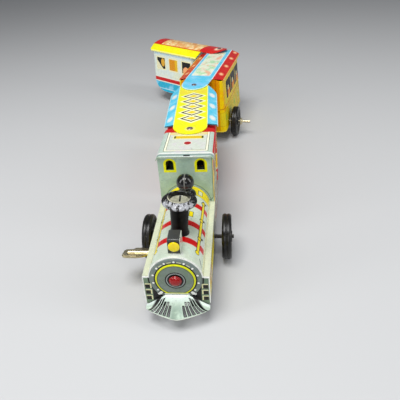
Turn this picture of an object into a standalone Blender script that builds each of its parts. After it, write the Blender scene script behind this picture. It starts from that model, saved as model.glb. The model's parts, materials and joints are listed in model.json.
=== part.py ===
"""Articulated clockwork tin train: a locomotive with three cars riveted on behind it by roof tongues.

Run with: blender --background --python part.py
Units are metres, +Z is up and the train stands on z = 0 with its front towards -Y.
Each vehicle is built in its own frame (x to its left-hand side of travel is -X, y backwards, z up)
and is placed by an empty: the locomotive's at its front plate, a car's on its front coupling pivot.
"""

import math

import bmesh
import bpy
from mathutils import Matrix, Vector

MM = 0.001

# Sheet metal and clearances
SHEET = 0.6 * MM  # printed tinplate with its hemmed edges
GAP = 0.3 * MM  # air kept between neighbouring pieces
BORE_GAP = 0.3 * MM  # radial air round a turning shaft

# Locomotive body
HALF_WIDTH = 19.0 * MM
DECK_Z = 32.3 * MM  # running boards
SKIRT_Z = 13.3 * MM  # lower edge of the side skirts
BODY_LENGTH = 120.8 * MM
BOILER_RADIUS = 15.6 * MM
BOILER_Z = 30.7 * MM  # height of the boiler's centre line
CAB_FRONT_Y = 77.1 * MM
CAB_REAR_Y = 120.6 * MM
ROOF_Z = 68.5 * MM  # top of the cab roof
WINDOW_X = 10.5 * MM
WINDOW_HALF = 2.65 * MM

# Front plate, smokebox and cowcatcher
SMOKEBOX_RADIUS = 15.2 * MM
DOOR_RADIUS = 11.2 * MM
CHORD_Z = 19.4 * MM  # flat lower edge of the smokebox door, where the cowcatcher begins
PLATE_FOOT_Z = 9.6 * MM
NOSE_Y = -11.4 * MM
CATCHER_FOOT_Z = 9.4 * MM

# Wheels
WHEEL_RADIUS = 15.6 * MM
WHEEL_WIDTH = 6.2 * MM
WHEEL_X = 26.6 * MM  # middle of the locomotive's big wheels
AXLE_SHIFT = 0.8 * MM  # the drive axle sits a little to the right
SMALL_RADIUS = 6.2 * MM  # hidden leading wheels of the locomotive
SMALL_WIDTH = 3.0 * MM
TAIL_RADIUS = 8.8 * MM  # wheels under the last car
AXLE_RADIUS = 1.3 * MM
DRIVE_AXLE_Y = 58.8 * MM
FRONT_AXLE_Y = 18.0 * MM

# Chimney, lamp and dome on the boiler
CHIMNEY_Y = 24.1 * MM
CHIMNEY_X = 0.9 * MM
CHIMNEY_LEAN = math.radians(4.0)
DOME_X = 0.6 * MM
DOME_Y = 66.3 * MM
LAMP_X = 0.3 * MM
LAMP_Y = 3.5 * MM

# Clockwork
MODULE = 0.8 * MM
PRESSURE = math.radians(25.0)
GREAT_TEETH = 32
GEAR_TEETH = 28
PINION_TEETH = 10
ARBOR_RADIUS = 1.5 * MM
KEY_Y = 32.3 * MM
KEY_Z = 22.8 * MM
KEY_TURN = math.radians(-17.0)
MOTOR_X = 8.5 * MM  # middle of each motor plate
MOTOR_SHEET = 0.8 * MM
GREAT_X = 4.4 * MM
GEAR_X = -1.6 * MM

# Couplings: where each pivot stands in the frame of the vehicle ahead, and the angle it is set to
PIVOT_1_Y = 119.3 * MM
PIVOT_2_Y = 100.2 * MM
PIVOT_3_Y = 122.6 * MM
TURN_1 = math.radians(2.8)
TURN_2 = math.radians(-12.2)
TURN_3 = math.radians(59.4)
RIVET_RADIUS = 1.3 * MM
RIVET_HEAD = 2.3 * MM
RIVET_RISE = 0.9 * MM

# Cars
ROOF_STEP = SHEET + GAP  # each roof lies one sheet above the roof ahead of it
FLAT_HALF = 13.0 * MM  # flat middle of a car roof
CAR_BOTTOM_Z = 13.8 * MM
CAR_WHEEL_X = 30.8 * MM  # middle of the second car's wheels


def material(name, colour, roughness, metallic=0.0):
    """A plain Principled material."""
    made = bpy.data.materials.new(name)
    made.use_nodes = True
    shader = made.node_tree.nodes["Principled BSDF"]
    shader.inputs["Base Color"].default_value = (*colour, 1.0)
    shader.inputs["Roughness"].default_value = roughness
    shader.inputs["Metallic"].default_value = metallic
    return made


def finish(name, mesh, colour, parent, smooth=False):
    """Makes the named object from a mesh, with its own material, under its vehicle's empty."""
    if smooth:
        mesh.shade_smooth()
        mesh.set_sharp_from_angle(angle=math.radians(35))
    made = bpy.data.objects.new(name, mesh)
    made.data.materials.append(material(name + "_paint", *colour))
    bpy.context.collection.objects.link(made)
    made.parent = parent
    return made


def mesh_from(vertices, faces):
    """A closed mesh from vertex and face lists, with its faces turned outwards."""
    shape = bmesh.new()
    made = [shape.verts.new(point) for point in vertices]
    for face in faces:
        shape.faces.new([made[index] for index in face])
    bmesh.ops.recalc_face_normals(shape, faces=shape.faces)
    mesh = bpy.data.meshes.new("shape")
    shape.to_mesh(mesh)
    shape.free()
    return mesh


def lift(point, height, axis):
    """Puts a 2-D outline point into space: the axis is the direction of extrusion."""
    first, second = point
    if axis == "X":
        return (height, first, second)
    if axis == "Y":
        return (first, height, second)
    return (first, second, height)


def prism(outline, low, high, axis):
    """Extrudes a closed outline from low to high along an axis."""
    count = len(outline)
    vertices = [lift(point, height, axis) for height in (low, high) for point in outline]
    faces = [tuple(range(count)), tuple(range(count, 2 * count))]
    for index in range(count):
        after = (index + 1) % count
        faces.append((index, after, count + after, count + index))
    return mesh_from(vertices, faces)


def loft(rings, cap=True):
    """Joins equal rings of points one after another, and caps the two ends."""
    count = len(rings[0])
    vertices = [point for ring in rings for point in ring]
    faces = []
    for level in range(len(rings) - 1):
        for index in range(count):
            after = (index + 1) % count
            low, high = level * count, (level + 1) * count
            faces.append((low + index, low + after, high + after, high + index))
    if cap:
        faces.append(tuple(range(count)))
        faces.append(tuple(range(len(vertices) - count, len(vertices))))
    return mesh_from(vertices, faces)


def lathe(profile, segments, axis="Z", centre=(0, 0, 0), closed=False, start=0.0, sweep=math.tau):
    """Turns (radius, height) points round an axis. A closed profile makes a ring."""
    full = abs(sweep - math.tau) < 1e-9
    steps = segments if full else segments + 1
    shape = bmesh.new()
    rings = []
    for radius, height in profile:
        ring = []
        for step in range(1 if radius == 0 else steps):
            angle = start + sweep * step / segments
            point = lift((radius * math.cos(angle), radius * math.sin(angle)), height, axis)
            ring.append(shape.verts.new(Vector(point) + Vector(centre)))
        rings.append(ring)
    pairs = list(zip(rings, rings[1:]))
    if closed:
        pairs.append((rings[-1], rings[0]))
    for low, high in pairs:
        for step in range(segments):
            after = (step + 1) % steps
            corners = [low[step % len(low)], low[after % len(low)]]
            corners += [high[after % len(high)], high[step % len(high)]]
            unique = list(dict.fromkeys(corners))
            if len(unique) > 2:
                shape.faces.new(unique)
    if not full:
        for step in (0, steps - 1):
            shape.faces.new(list(dict.fromkeys(ring[step % len(ring)] for ring in rings)))
    bmesh.ops.recalc_face_normals(shape, faces=shape.faces)
    mesh = bpy.data.meshes.new("turned")
    shape.to_mesh(mesh)
    shape.free()
    return mesh


def rod(radius, low, high, axis, centre, segments=20):
    """A plain round bar."""
    profile = [(0, low), (radius, low), (radius, high), (0, high)]
    return lathe(profile, segments, axis, centre)


def arc(centre, radius, first, last, steps):
    """Points along an arc, angles in degrees."""
    points = []
    for step in range(steps + 1):
        angle = math.radians(first + (last - first) * step / steps)
        points.append((centre[0] + radius * math.cos(angle), centre[1] + radius * math.sin(angle)))
    return points


def folded(line, thickness):
    """The closed outline of a folded sheet: a line, and the same line moved to its right."""
    moved = []
    for index, point in enumerate(line):
        here = Vector(point)
        normals = []
        if index > 0:
            along = (here - Vector(line[index - 1])).normalized()
            normals.append(Vector((along.y, -along.x)))
        if index < len(line) - 1:
            along = (Vector(line[index + 1]) - here).normalized()
            normals.append(Vector((along.y, -along.x)))
        total = sum(normals, Vector((0, 0)))
        reach = total / (1 + normals[0].dot(normals[-1])) if len(normals) == 2 else total
        moved.append(tuple(here + reach * thickness))
    return list(line) + moved[::-1]


def rounded_box(half_x, low_y, high_y, radius, steps=5):
    """A rectangle in plan with rounded corners, anticlockwise from its right-hand front corner."""
    corners = [
        ((half_x - radius, low_y + radius), -90, 0),
        ((half_x - radius, high_y - radius), 0, 90),
        ((-half_x + radius, high_y - radius), 90, 180),
        ((-half_x + radius, low_y + radius), 180, 270),
    ]
    points = []
    for centre, first, last in corners:
        points += arc(centre, radius, first, last, steps)
    return points


def combine(target, other, operation):
    """Adds a Boolean modifier. The second object is only a guide, so it is hidden."""
    other.hide_render = True
    other.display_type = "WIRE"
    other.hide_viewport = False
    modifier = target.modifiers.new(operation.lower(), "BOOLEAN")
    modifier.operation = operation
    modifier.solver = "EXACT"
    modifier.object = other


def guide(mesh, parent):
    """An object used only to cut or shape another."""
    made = bpy.data.objects.new("guide", mesh)
    bpy.context.collection.objects.link(made)
    made.parent = parent
    return made


def drill(target, mesh):
    """Cuts a mesh away from an object."""
    combine(target, guide(mesh, target.parent), "DIFFERENCE")


def merge(target, mesh):
    """Joins a mesh to an object as one solid."""
    combine(target, guide(mesh, target.parent), "UNION")


def keep_inside(target, mesh):
    """Keeps only the part of an object that lies inside a mesh."""
    combine(target, guide(mesh, target.parent), "INTERSECT")


def vehicle(name, parent, location, turn):
    """The empty that places a vehicle."""
    made = bpy.data.objects.new(name, None)
    bpy.context.collection.objects.link(made)
    made.parent = parent
    made.location = location
    made.rotation_euler = (0, 0, turn)
    return made


# ---------------------------------------------------------------- colours

BOILER_GREY = ((0.55, 0.63, 0.50), 0.3, 0.2)
CAB_GREEN = ((0.26, 0.38, 0.29), 0.3, 0.2)
PLATE_GREEN = ((0.11, 0.17, 0.11), 0.3, 0.2)
BLACK = ((0.012, 0.012, 0.014), 0.18, 0.0)
LAMP_YELLOW = ((0.85, 0.68, 0.01), 0.3, 0.0)
JEWEL_RED = ((0.6, 0.01, 0.01), 0.1, 0.0)
CAR_YELLOW = ((0.78, 0.72, 0.01), 0.3, 0.1)
CAR_CYAN = ((0.08, 0.62, 0.80), 0.3, 0.1)
CAR_RED = ((0.55, 0.02, 0.02), 0.3, 0.1)
STEEL = ((0.45, 0.44, 0.42), 0.35, 1.0)
BRASS = ((0.55, 0.42, 0.18), 0.35, 1.0)
KEY_NICKEL = ((0.48, 0.42, 0.25), 0.35, 1.0)


# ---------------------------------------------------------------- locomotive body

def footplate(loco):
    """Running boards and side skirts, one sheet folded to an upside-down U, open along the middle."""
    low, high = SKIRT_Z, DECK_Z
    line = [(-HALF_WIDTH, low), (-HALF_WIDTH, high), (HALF_WIDTH, high), (HALF_WIDTH, low)]
    mesh = prism(folded(line, SHEET), SHEET + GAP, BODY_LENGTH, "Y")
    made = finish("footplate", mesh, BOILER_GREY, loco)
    opening = BOILER_RADIUS - 3.0 * MM
    slot = [(-opening, 2 * SHEET), (opening, 2 * SHEET), (opening, CAB_FRONT_Y), (-opening, CAB_FRONT_Y)]
    drill(made, prism(slot, high - 4 * MM, high + 4 * MM, "Z"))
    axle = (0, DRIVE_AXLE_Y, WHEEL_RADIUS)
    drill(made, rod(AXLE_RADIUS + BORE_GAP, -2 * HALF_WIDTH, 2 * HALF_WIDTH, "X", axle))
    key = (0, KEY_Y, KEY_Z)
    drill(made, rod(3.0 * MM, -2 * HALF_WIDTH, -HALF_WIDTH / 2, "X", key))
    return made


def boiler_shell(loco):
    """The half-round boiler, a bent sheet standing on the running boards."""
    foot = DECK_Z + GAP
    tilt = math.degrees(math.asin((foot - BOILER_Z) / BOILER_RADIUS))
    line = arc((0, BOILER_Z), BOILER_RADIUS, 180 - tilt, tilt, 30)
    mesh = prism(folded(line, SHEET), SHEET + GAP, CAB_FRONT_Y - GAP, "Y")
    return finish("boiler_shell", mesh, BOILER_GREY, loco, smooth=True)


def front_plate(loco):
    """The front sheet, with the smokebox stamped forwards out of it."""
    rise = math.degrees(math.asin((DECK_Z - BOILER_Z) / SMOKEBOX_RADIUS))
    outline = [(HALF_WIDTH, PLATE_FOOT_Z + 3 * MM), (HALF_WIDTH, DECK_Z)]
    outline += arc((0, BOILER_Z), BOILER_RADIUS, rise, 180 - rise, 30)
    outline += [(-HALF_WIDTH, DECK_Z), (-HALF_WIDTH, PLATE_FOOT_Z + 3 * MM), (-HALF_WIDTH + 3 * MM, PLATE_FOOT_Z)]
    outline += [(HALF_WIDTH - 3 * MM, PLATE_FOOT_Z)]
    made = finish("front_plate", prism(outline, 0, SHEET, "Y"), PLATE_GREEN, loco, smooth=True)
    ring = arc((0, BOILER_Z), SMOKEBOX_RADIUS - 0.5 * MM, -49, 229, 36)
    merge(made, prism(ring, -0.7 * MM, SHEET / 2, "Y"))
    door = arc((0, BOILER_Z), DOOR_RADIUS, -56, 236, 36)
    merge(made, prism(door, -1.2 * MM, SHEET / 3, "Y"))
    return made


def smokebox_jewel(loco):
    """The red domed stud in the middle of the smokebox door."""
    front = -1.2 * MM - GAP
    profile = [(0, front - 2.0 * MM), (1.5 * MM, front - 1.7 * MM), (2.8 * MM, front - 1.0 * MM)]
    profile += [(3.6 * MM, front - 0.4 * MM), (3.6 * MM, front), (0, front)]
    mesh = lathe(profile, 24, "Y", (0, 0, BOILER_Z))
    return finish("smokebox_jewel", mesh, JEWEL_RED, loco, smooth=True)


def cowcatcher(loco):
    """The slotted fan below the smokebox: a grid of ribs with slots between, given sheet thickness."""
    first, step, width_of_slot, ribs = 0.16, 0.118, 0.052, 7
    edges = [first + step * rib for rib in range(ribs)]
    columns = sorted(side * (edge + extra) for side in (-1, 1) for edge in edges for extra in (0, width_of_slot))
    columns = [-1.0] + columns + [1.0]
    rows = [0.0, 0.1, 0.5, 0.9, 1.0]

    def surface(across, down):
        """A point of the fan: its top follows the front plate, and its foot is a blunt arrow."""
        far = abs(across)
        top_x = across * (15.8 + 2.8 * far**3) * MM
        drop = max(0.0, far - 0.42) / 0.58
        top_z = CHORD_Z + (CATCHER_FOOT_Z + 2.0 * MM - CHORD_Z) * drop
        foot_y = NOSE_Y + (-3.2 * MM - NOSE_Y) * far ** 1.4
        foot = Vector((across * 18.8 * MM, foot_y, CATCHER_FOOT_Z + 0.8 * MM * max(0.0, far - 0.9) / 0.1))
        top = Vector((top_x, -GAP - SHEET, top_z))
        bulge = math.sin(down * math.pi) * 0.6 * MM
        point = top.lerp(foot, down)
        return (point.x, point.y - bulge, point.z)

    vertices = [surface(across, down) for down in rows for across in columns]
    width = len(columns)
    faces = []
    for row in range(len(rows) - 1):
        for column in range(width - 1):
            middle = abs(columns[column] + columns[column + 1]) / 2
            is_slot = row in (1, 2) and any(abs(middle - edge - width_of_slot / 2) < 0.01 for edge in edges)
            if not is_slot:
                corner = row * width + column
                faces.append((corner, corner + 1, corner + 1 + width, corner + width))
    shape = bmesh.new()
    made = [shape.verts.new(point) for point in vertices]
    for face in faces:
        shape.faces.new([made[index] for index in face])
    bmesh.ops.recalc_face_normals(shape, faces=shape.faces)
    mesh = bpy.data.meshes.new("fan")
    shape.to_mesh(mesh)
    shape.free()
    fan = finish("cowcatcher", mesh, BOILER_GREY, loco)
    solid = fan.modifiers.new("thickness", "SOLIDIFY")
    solid.thickness = SHEET
    solid.offset = 0
    solid.use_even_offset = True
    return fan


def base_plate(loco):
    """The pan under the locomotive, with a long slot for the clockwork."""
    half = HALF_WIDTH - SHEET - GAP
    outline = [(-half, 2 * MM), (half, 2 * MM), (half, BODY_LENGTH - GAP), (-half, BODY_LENGTH - GAP)]
    low = SKIRT_Z - 0.4 * MM
    made = finish("base_plate", prism(outline, low, low + MOTOR_SHEET, "Z"), STEEL, loco)
    slot_half = MOTOR_X + 1.2 * MM
    slot = [(-slot_half, 16 * MM), (slot_half, 16 * MM), (slot_half, 74 * MM), (-slot_half, 74 * MM)]
    drill(made, prism(slot, low - 2 * MM, low + 3 * MM, "Z"))
    return made


def cab_shell(loco):
    """The cab's four walls, standing on the deck and trimmed to the underside of the roof."""
    low = DECK_Z + GAP
    half = HALF_WIDTH - 0.35 * MM
    outer = roof_rear(half, CAB_FRONT_Y, CAB_REAR_Y, 7 * MM)
    inner = roof_rear(half - SHEET, CAB_FRONT_Y + SHEET, CAB_REAR_Y - SHEET, 6.4 * MM)
    made = finish("cab_shell", prism(outer, low, ROOF_Z, "Z"), CAB_GREEN, loco)
    drill(made, prism(inner, low - 2 * MM, ROOF_Z + 2 * MM, "Z"))
    under = cab_roof_line(SHEET + GAP)
    reach = HALF_WIDTH + 2 * MM
    foot, above = ROOF_Z - 5 * MM, ROOF_Z + 5 * MM
    region = [(-reach, foot), (under[0][0], foot)] + under + [(under[-1][0], foot), (reach, foot)]
    region += [(reach, above), (-reach, above)]
    drill(made, prism(region, CAB_FRONT_Y - 5 * MM, CAB_REAR_Y + 5 * MM, "Y"))
    drill(made, rod(RIVET_HEAD + GAP, ROOF_Z - 4 * MM, ROOF_Z + 2 * MM, "Z", (0, PIVOT_1_Y, 0)))
    for side in (-1, 1):
        x = side * WINDOW_X
        sill = DECK_Z + 25.4 * MM
        window = [(x - WINDOW_HALF, sill), (x + WINDOW_HALF, sill)]
        window += arc((x, sill + 4.9 * MM), WINDOW_HALF, 0, 180, 10)
        drill(made, prism(window, CAB_FRONT_Y - 2 * MM, CAB_FRONT_Y + 3 * MM, "Y"))
    return made


def cab_roof_line(inset=0.0):
    """The cab roof's cross-section, left to right along its top, or a line inside it."""
    bend = 3.0 * MM
    edge = HALF_WIDTH + 0.6 * MM
    left = arc((-edge + bend, ROOF_Z - bend), bend - inset, 180, 90, 5)
    right = arc((edge - bend, ROOF_Z - bend), bend - inset, 90, 0, 5)
    return left + right


def roof_rear(half, front_y, rear_y, corner):
    """Plan of the cab roof, with round corners behind."""
    points = [(-half, front_y), (half, front_y)]
    points += arc((half - corner, rear_y - corner), corner, 0, 90, 6)
    points += arc((-half + corner, rear_y - corner), corner, 90, 180, 6)
    return points


def cab_roof(loco):
    """The cab roof, which runs back to carry the first coupling rivet."""
    mesh = prism(folded(cab_roof_line(), SHEET), CAB_FRONT_Y - 1.4 * MM, PIVOT_1_Y + 6.5 * MM, "Y")
    made = finish("cab_roof", mesh, BOILER_GREY, loco)
    plan = roof_rear(HALF_WIDTH + 2 * MM, CAB_FRONT_Y - 3 * MM, PIVOT_1_Y + 3.8 * MM, 9 * MM)
    keep_inside(made, prism(plan, ROOF_Z - 9 * MM, ROOF_Z + 3 * MM, "Z"))
    drill(made, rod(RIVET_RADIUS + BORE_GAP, ROOF_Z - 5 * MM, ROOF_Z + 5 * MM, "Z", (0, PIVOT_1_Y, 0)))
    return made


# ---------------------------------------------------------------- fittings on the boiler

def boiler_top(radius_gap=GAP):
    """Height just above the boiler's crown line."""
    return BOILER_Z + BOILER_RADIUS + radius_gap


def saddle(made):
    """Trims a fitting's foot to sit round the boiler."""
    cut = rod(BOILER_RADIUS + GAP, 0, CAB_FRONT_Y, "Y", (0, 0, BOILER_Z), 60)
    drill(made, cut)


def headlamp(loco):
    """The box lamp on the front of the boiler and its round lens."""
    half = 3.6 * MM
    low = boiler_top() - 1.6 * MM
    outline = [(x + LAMP_X, z) for x, z in rounded_box(half, low, low + 10.9 * MM, 0.8 * MM, 3)]
    made = finish("headlamp", prism(outline, LAMP_Y, LAMP_Y + 9.0 * MM, "Y"), BLACK, loco)
    saddle(made)
    middle = low + 6.1 * MM
    front = LAMP_Y - GAP
    profile = [(0, front - 0.7 * MM), (2.4 * MM, front - 0.5 * MM), (3.2 * MM, front - 0.2 * MM)]
    profile += [(3.2 * MM, front), (0, front)]
    lens = lathe(profile, 28, "Y", (LAMP_X, 0, middle))
    finish("headlamp_lens", lens, LAMP_YELLOW, loco, smooth=True)


def chimney(loco):
    """The balloon stack: a tapered stem, and a flat diamond crown round its mouth. It leans a little."""
    base = vehicle("chimney_frame", loco, (CHIMNEY_X, CHIMNEY_Y, boiler_top()), 0)
    base.rotation_euler = (0, CHIMNEY_LEAN, 0)
    stem_height = 17.6 * MM
    profile = [(0, -3.4 * MM), (5.9 * MM, -3.4 * MM), (5.3 * MM, -1.2 * MM), (4.9 * MM, 1.0 * MM)]
    profile += [(5.5 * MM, stem_height), (0, stem_height)]
    stem = finish("chimney_stem", lathe(profile, 28), BLACK, base, smooth=True)
    cut = guide(rod(BOILER_RADIUS + GAP, 0, CAB_FRONT_Y, "Y", (0, 0, BOILER_Z), 60), loco)
    combine(stem, cut, "DIFFERENCE")
    foot = stem_height + GAP
    ring = [(0, foot), (5.6 * MM, foot), (10.0 * MM, foot + 2.2 * MM), (10.0 * MM, foot + 3.0 * MM)]
    ring += [(6.9 * MM, foot + 5.3 * MM), (6.2 * MM, foot + 5.5 * MM), (5.9 * MM, foot + 5.0 * MM)]
    ring += [(5.6 * MM, foot + 2.6 * MM), (0, foot + 2.6 * MM)]
    finish("chimney_crown", lathe(ring, 40), BLACK, base, smooth=True)


def dome(loco):
    """The round dome on its flared neck, moulded in two halves that meet on the centre line."""
    top = boiler_top()
    centre = 7.8 * MM
    ball = 5.8 * MM
    profile = [(0, -1.2 * MM), (6.6 * MM, -1.2 * MM), (6.2 * MM, 0.2 * MM), (4.6 * MM, 1.6 * MM)]
    profile += [(4.1 * MM, 2.8 * MM)]
    for angle in range(-44, 91, 15):
        reach = ball * math.cos(math.radians(angle))
        profile.append((0 if angle > 89 else reach, centre + ball * math.sin(math.radians(angle))))
    profile.append((0, centre + ball))
    for name, first in (("dome_left", 90), ("dome_right", -90)):
        shift = -GAP / 3 if first > 0 else GAP / 3
        mesh = lathe(profile, 14, "Z", (DOME_X + shift, DOME_Y, top), False, math.radians(first), math.pi)
        half = finish(name, mesh, BLACK, loco, smooth=True)
        saddle(half)


# ---------------------------------------------------------------- wheels and axles

def wheel_profile(radius, width, bore):
    """A moulded wheel: round-edged tread, sunk web on both faces and a boss."""
    half = width / 2
    rim = radius * 0.80
    boss = radius * 0.24
    sink = width * 0.24
    return [
        (bore, -half - 0.6 * MM),
        (boss, -half - 0.6 * MM),
        (boss * 1.15, -half + sink),
        (rim * 0.94, -half + sink),
        (rim, -half),
        (radius - 1.0 * MM, -half),
        (radius, -half + 1.2 * MM),
        (radius, half - 1.2 * MM),
        (radius - 1.0 * MM, half),
        (rim, half),
        (rim * 0.94, half - sink),
        (boss * 1.15, half - sink),
        (boss, half + 0.6 * MM),
        (bore, half + 0.6 * MM),
    ]


def wheel(name, parent, radius, width, centre, segments=40):
    """A big or small wheel on its axle."""
    profile = wheel_profile(radius, width, AXLE_RADIUS + GAP)
    mesh = lathe(profile, segments, "X", centre, closed=True)
    return finish(name, mesh, BLACK, parent, smooth=True)


def front_axle(loco):
    """The small leading wheels, their axle and its bracket, hidden behind the cowcatcher."""
    place = (0, FRONT_AXLE_Y, SMALL_RADIUS)
    half = 8.4 * MM
    top = SKIRT_Z - 0.8 * MM
    line = [(-half, 3.6 * MM), (-half, top), (half, top), (half, 3.6 * MM)]
    front, rear = FRONT_AXLE_Y - 3.0 * MM, FRONT_AXLE_Y + 3.0 * MM
    bracket = finish("front_bracket", prism(folded(line, MOTOR_SHEET), front, rear, "Y"), STEEL, loco)
    drill(bracket, rod(AXLE_RADIUS + BORE_GAP, -20 * MM, 20 * MM, "X", place))
    finish("front_axle", rod(AXLE_RADIUS, -13.4 * MM, 13.4 * MM, "X", place), STEEL, loco, smooth=True)
    for name, side in (("front_wheel_left", -1), ("front_wheel_right", 1)):
        centre = (side * 11.2 * MM, FRONT_AXLE_Y, SMALL_RADIUS)
        wheel(name, loco, SMALL_RADIUS, SMALL_WIDTH, centre, 28)


def drive_axle(loco):
    """The driven axle with its two big wheels."""
    reach = WHEEL_X + WHEEL_WIDTH / 2 + 1.6 * MM
    place = (0, DRIVE_AXLE_Y, WHEEL_RADIUS)
    shaft = rod(AXLE_RADIUS, AXLE_SHIFT - reach, AXLE_SHIFT + reach, "X", place)
    finish("drive_axle", shaft, STEEL, loco, smooth=True)
    for name, side in (("drive_wheel_left", -1), ("drive_wheel_right", 1)):
        centre = (AXLE_SHIFT + side * WHEEL_X, DRIVE_AXLE_Y, WHEEL_RADIUS)
        wheel(name, loco, WHEEL_RADIUS, WHEEL_WIDTH, centre)


# ---------------------------------------------------------------- clockwork

def involute(angle):
    """The involute function."""
    return math.tan(angle) - angle


def gear_outline(teeth, centre, phase):
    """A spur gear's outline in the (y, z) plane, with one tooth's middle at the phase angle."""
    pitch = teeth * MODULE / 2
    base = pitch * math.cos(PRESSURE)
    tip = pitch + 0.9 * MODULE
    root = pitch - 1.25 * MODULE
    slack = 0.11 * MM / pitch
    half_pitch = math.pi / (2 * teeth) - slack
    flank = []
    for radius in (root, max(base, root + 0.05 * MM), (base + tip) / 2, tip):
        pressure = math.acos(min(1.0, base / radius)) if radius > base else 0.0
        flank.append((radius, half_pitch + involute(PRESSURE) - involute(pressure)))
    points = []
    for tooth in range(teeth):
        middle = phase + math.tau * tooth / teeth
        for radius, half in flank:
            points.append((radius, middle - half))
        for radius, half in reversed(flank):
            points.append((radius, middle + half))
    return [(centre[0] + r * math.cos(a), centre[1] + r * math.sin(a)) for r, a in points]


def gear(name, loco, teeth, centre, phase, low, high, bore, colour):
    """A spur gear as a node, bored for its arbor."""
    made = finish(name, prism(gear_outline(teeth, centre, phase), low, high, "X"), colour, loco)
    drill(made, rod(bore, low - 2 * MM, high + 2 * MM, "X", (0, *centre)))
    return made


def meshing_phase(teeth, other_teeth, phase, towards):
    """The phase of a gear whose gap faces the other gear's tooth. towards points from other to this."""
    return towards + math.pi + math.pi / teeth - (phase - towards) * other_teeth / teeth


def train_centres():
    """Centres of the key arbor, the intermediate arbor and the axle in the (y, z) plane."""
    key = Vector((KEY_Y, KEY_Z))
    axle = Vector((DRIVE_AXLE_Y, WHEEL_RADIUS))
    first = (GREAT_TEETH + PINION_TEETH) * MODULE / 2
    second = (GEAR_TEETH + PINION_TEETH) * MODULE / 2
    span = (axle - key).length
    along = (first**2 - second**2 + span**2) / (2 * span)
    rise = math.sqrt(first**2 - along**2)
    unit = (axle - key).normalized()
    middle = key + unit * along + Vector((-unit.y, unit.x)) * rise
    return tuple(key), tuple(middle), tuple(axle)


def bearing(first, second):
    """The angle of the line from one centre to another."""
    return math.atan2(second[1] - first[1], second[0] - first[0])


def clockwork_frame(loco, centres):
    """The two motor plates and the three pillars between them."""
    outline = [(19.5, 15.0), (23.5, 11.6), (67.0, 11.6), (70.0, 15.0), (70.0, 34.0), (63.0, 39.5), (26.0, 39.5)]
    outline += [(19.5, 33.0)]
    outline = [(y * MM, z * MM) for y, z in outline]
    for name, side in (("motor_plate_left", -1), ("motor_plate_right", 1)):
        low = side * MOTOR_X - MOTOR_SHEET / 2
        plate = finish(name, prism(outline, low, low + MOTOR_SHEET, "X"), STEEL, loco)
        for centre, radius in zip(centres, (ARBOR_RADIUS, ARBOR_RADIUS, AXLE_RADIUS)):
            drill(plate, rod(radius + BORE_GAP, low - 2 * MM, low + 3 * MM, "X", (0, *centre), 16))
    reach = MOTOR_X - MOTOR_SHEET / 2 - GAP
    spots = {"front": (22.6, 35.6 - 1.2), "top": (41.0, 37.6), "rear": (67.2, 32.0)}
    for name, (y, z) in spots.items():
        place = (0, y * MM, z * MM)
        finish("motor_pillar_" + name, rod(1.2 * MM, -reach, reach, "X", place, 12), STEEL, loco, smooth=True)


def mainspring(loco, centre):
    """The flat spiral spring round the winding arbor, wound on a computed spiral."""
    turns = 6.0
    inner = 2.6 * MM
    pitch = 1.25 * MM
    strip = 0.5 * MM
    steps = int(turns * 18)
    inside, outside = [], []
    for step in range(steps + 1):
        angle = math.tau * turns * step / steps
        radius = inner + pitch * angle / math.tau
        for line, extra in ((inside, 0), (outside, strip)):
            reach = radius + extra
            line.append((centre[0] + reach * math.cos(angle), centre[1] + reach * math.sin(angle)))
    shape = []
    for left in (-7.6 * MM, -3.4 * MM):
        shape.append([lift(point, left, "X") for point in inside + outside[::-1]])
    finish("mainspring", loft(shape), STEEL, loco, smooth=False)


def winding(loco, centre):
    """The key, its arbor and the ratchet wheel that turn together."""
    place = (0, *centre)
    end = -HALF_WIDTH - 0.8 * MM
    finish("winding_arbor", rod(ARBOR_RADIUS, end, MOTOR_X + 1.4 * MM, "X", place), STEEL, loco, smooth=True)
    points = []
    teeth = 12
    for tooth in range(teeth):
        angle = math.tau * tooth / teeth
        points.append((centre[0] + 4.4 * MM * math.cos(angle), centre[1] + 4.4 * MM * math.sin(angle)))
        angle += math.tau / teeth * 0.9
        points.append((centre[0] + 3.4 * MM * math.cos(angle), centre[1] + 3.4 * MM * math.sin(angle)))
    ratchet = finish("ratchet_wheel", prism(points, 1.0 * MM, 2.2 * MM, "X"), STEEL, loco)
    drill(ratchet, rod(ARBOR_RADIUS + GAP, -2 * MM, 5 * MM, "X", place))
    winding_key(loco, centre, end)


def winding_key(loco, centre, end):
    """The stamped key: a rolled barrel on the arbor's end, with a wing on each side and a turned-up rim."""
    frame = vehicle("key_frame", loco, (end - GAP, *centre), 0)
    frame.rotation_euler = (KEY_TURN, 0, 0)
    length = 17.9 * MM
    profile = [(0, -length + 2.4 * MM), (1.5 * MM, -length + 2.4 * MM), (2.0 * MM, -length + 3.4 * MM)]
    profile += [(2.0 * MM, 0), (0, 0)]
    made = finish("winding_key", lathe(profile, 20, "X"), KEY_NICKEL, frame, smooth=True)
    rear = [(-1.0, 3.0), (-3.0, 6.2), (-6.0, 7.6), (-11.2, 7.4), (-12.2, 5.2), (-16.8, 4.8), (-17.9, 3.2)]
    front = [(-17.9, -4.6), (-16.8, -6.6), (-14.0, -7.7), (-8.0, -7.6), (-4.0, -6.2), (-1.0, -3.0)]
    bow = [(x * MM, y * MM) for x, y in rear + front]
    merge(made, prism(bow, -0.5 * MM, 0.5 * MM, "Z"))
    rim = [(-17.4, -4.7), (-16.4, -6.3), (-13.9, -7.2), (-8.0, -7.1), (-7.9, -6.3), (-13.7, -6.4), (-15.8, -5.6)]
    rim += [(-16.8, -4.5)]
    merge(made, prism([(x * MM, y * MM) for x, y in rim], 0, 1.3 * MM, "Z"))
    return made


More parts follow.
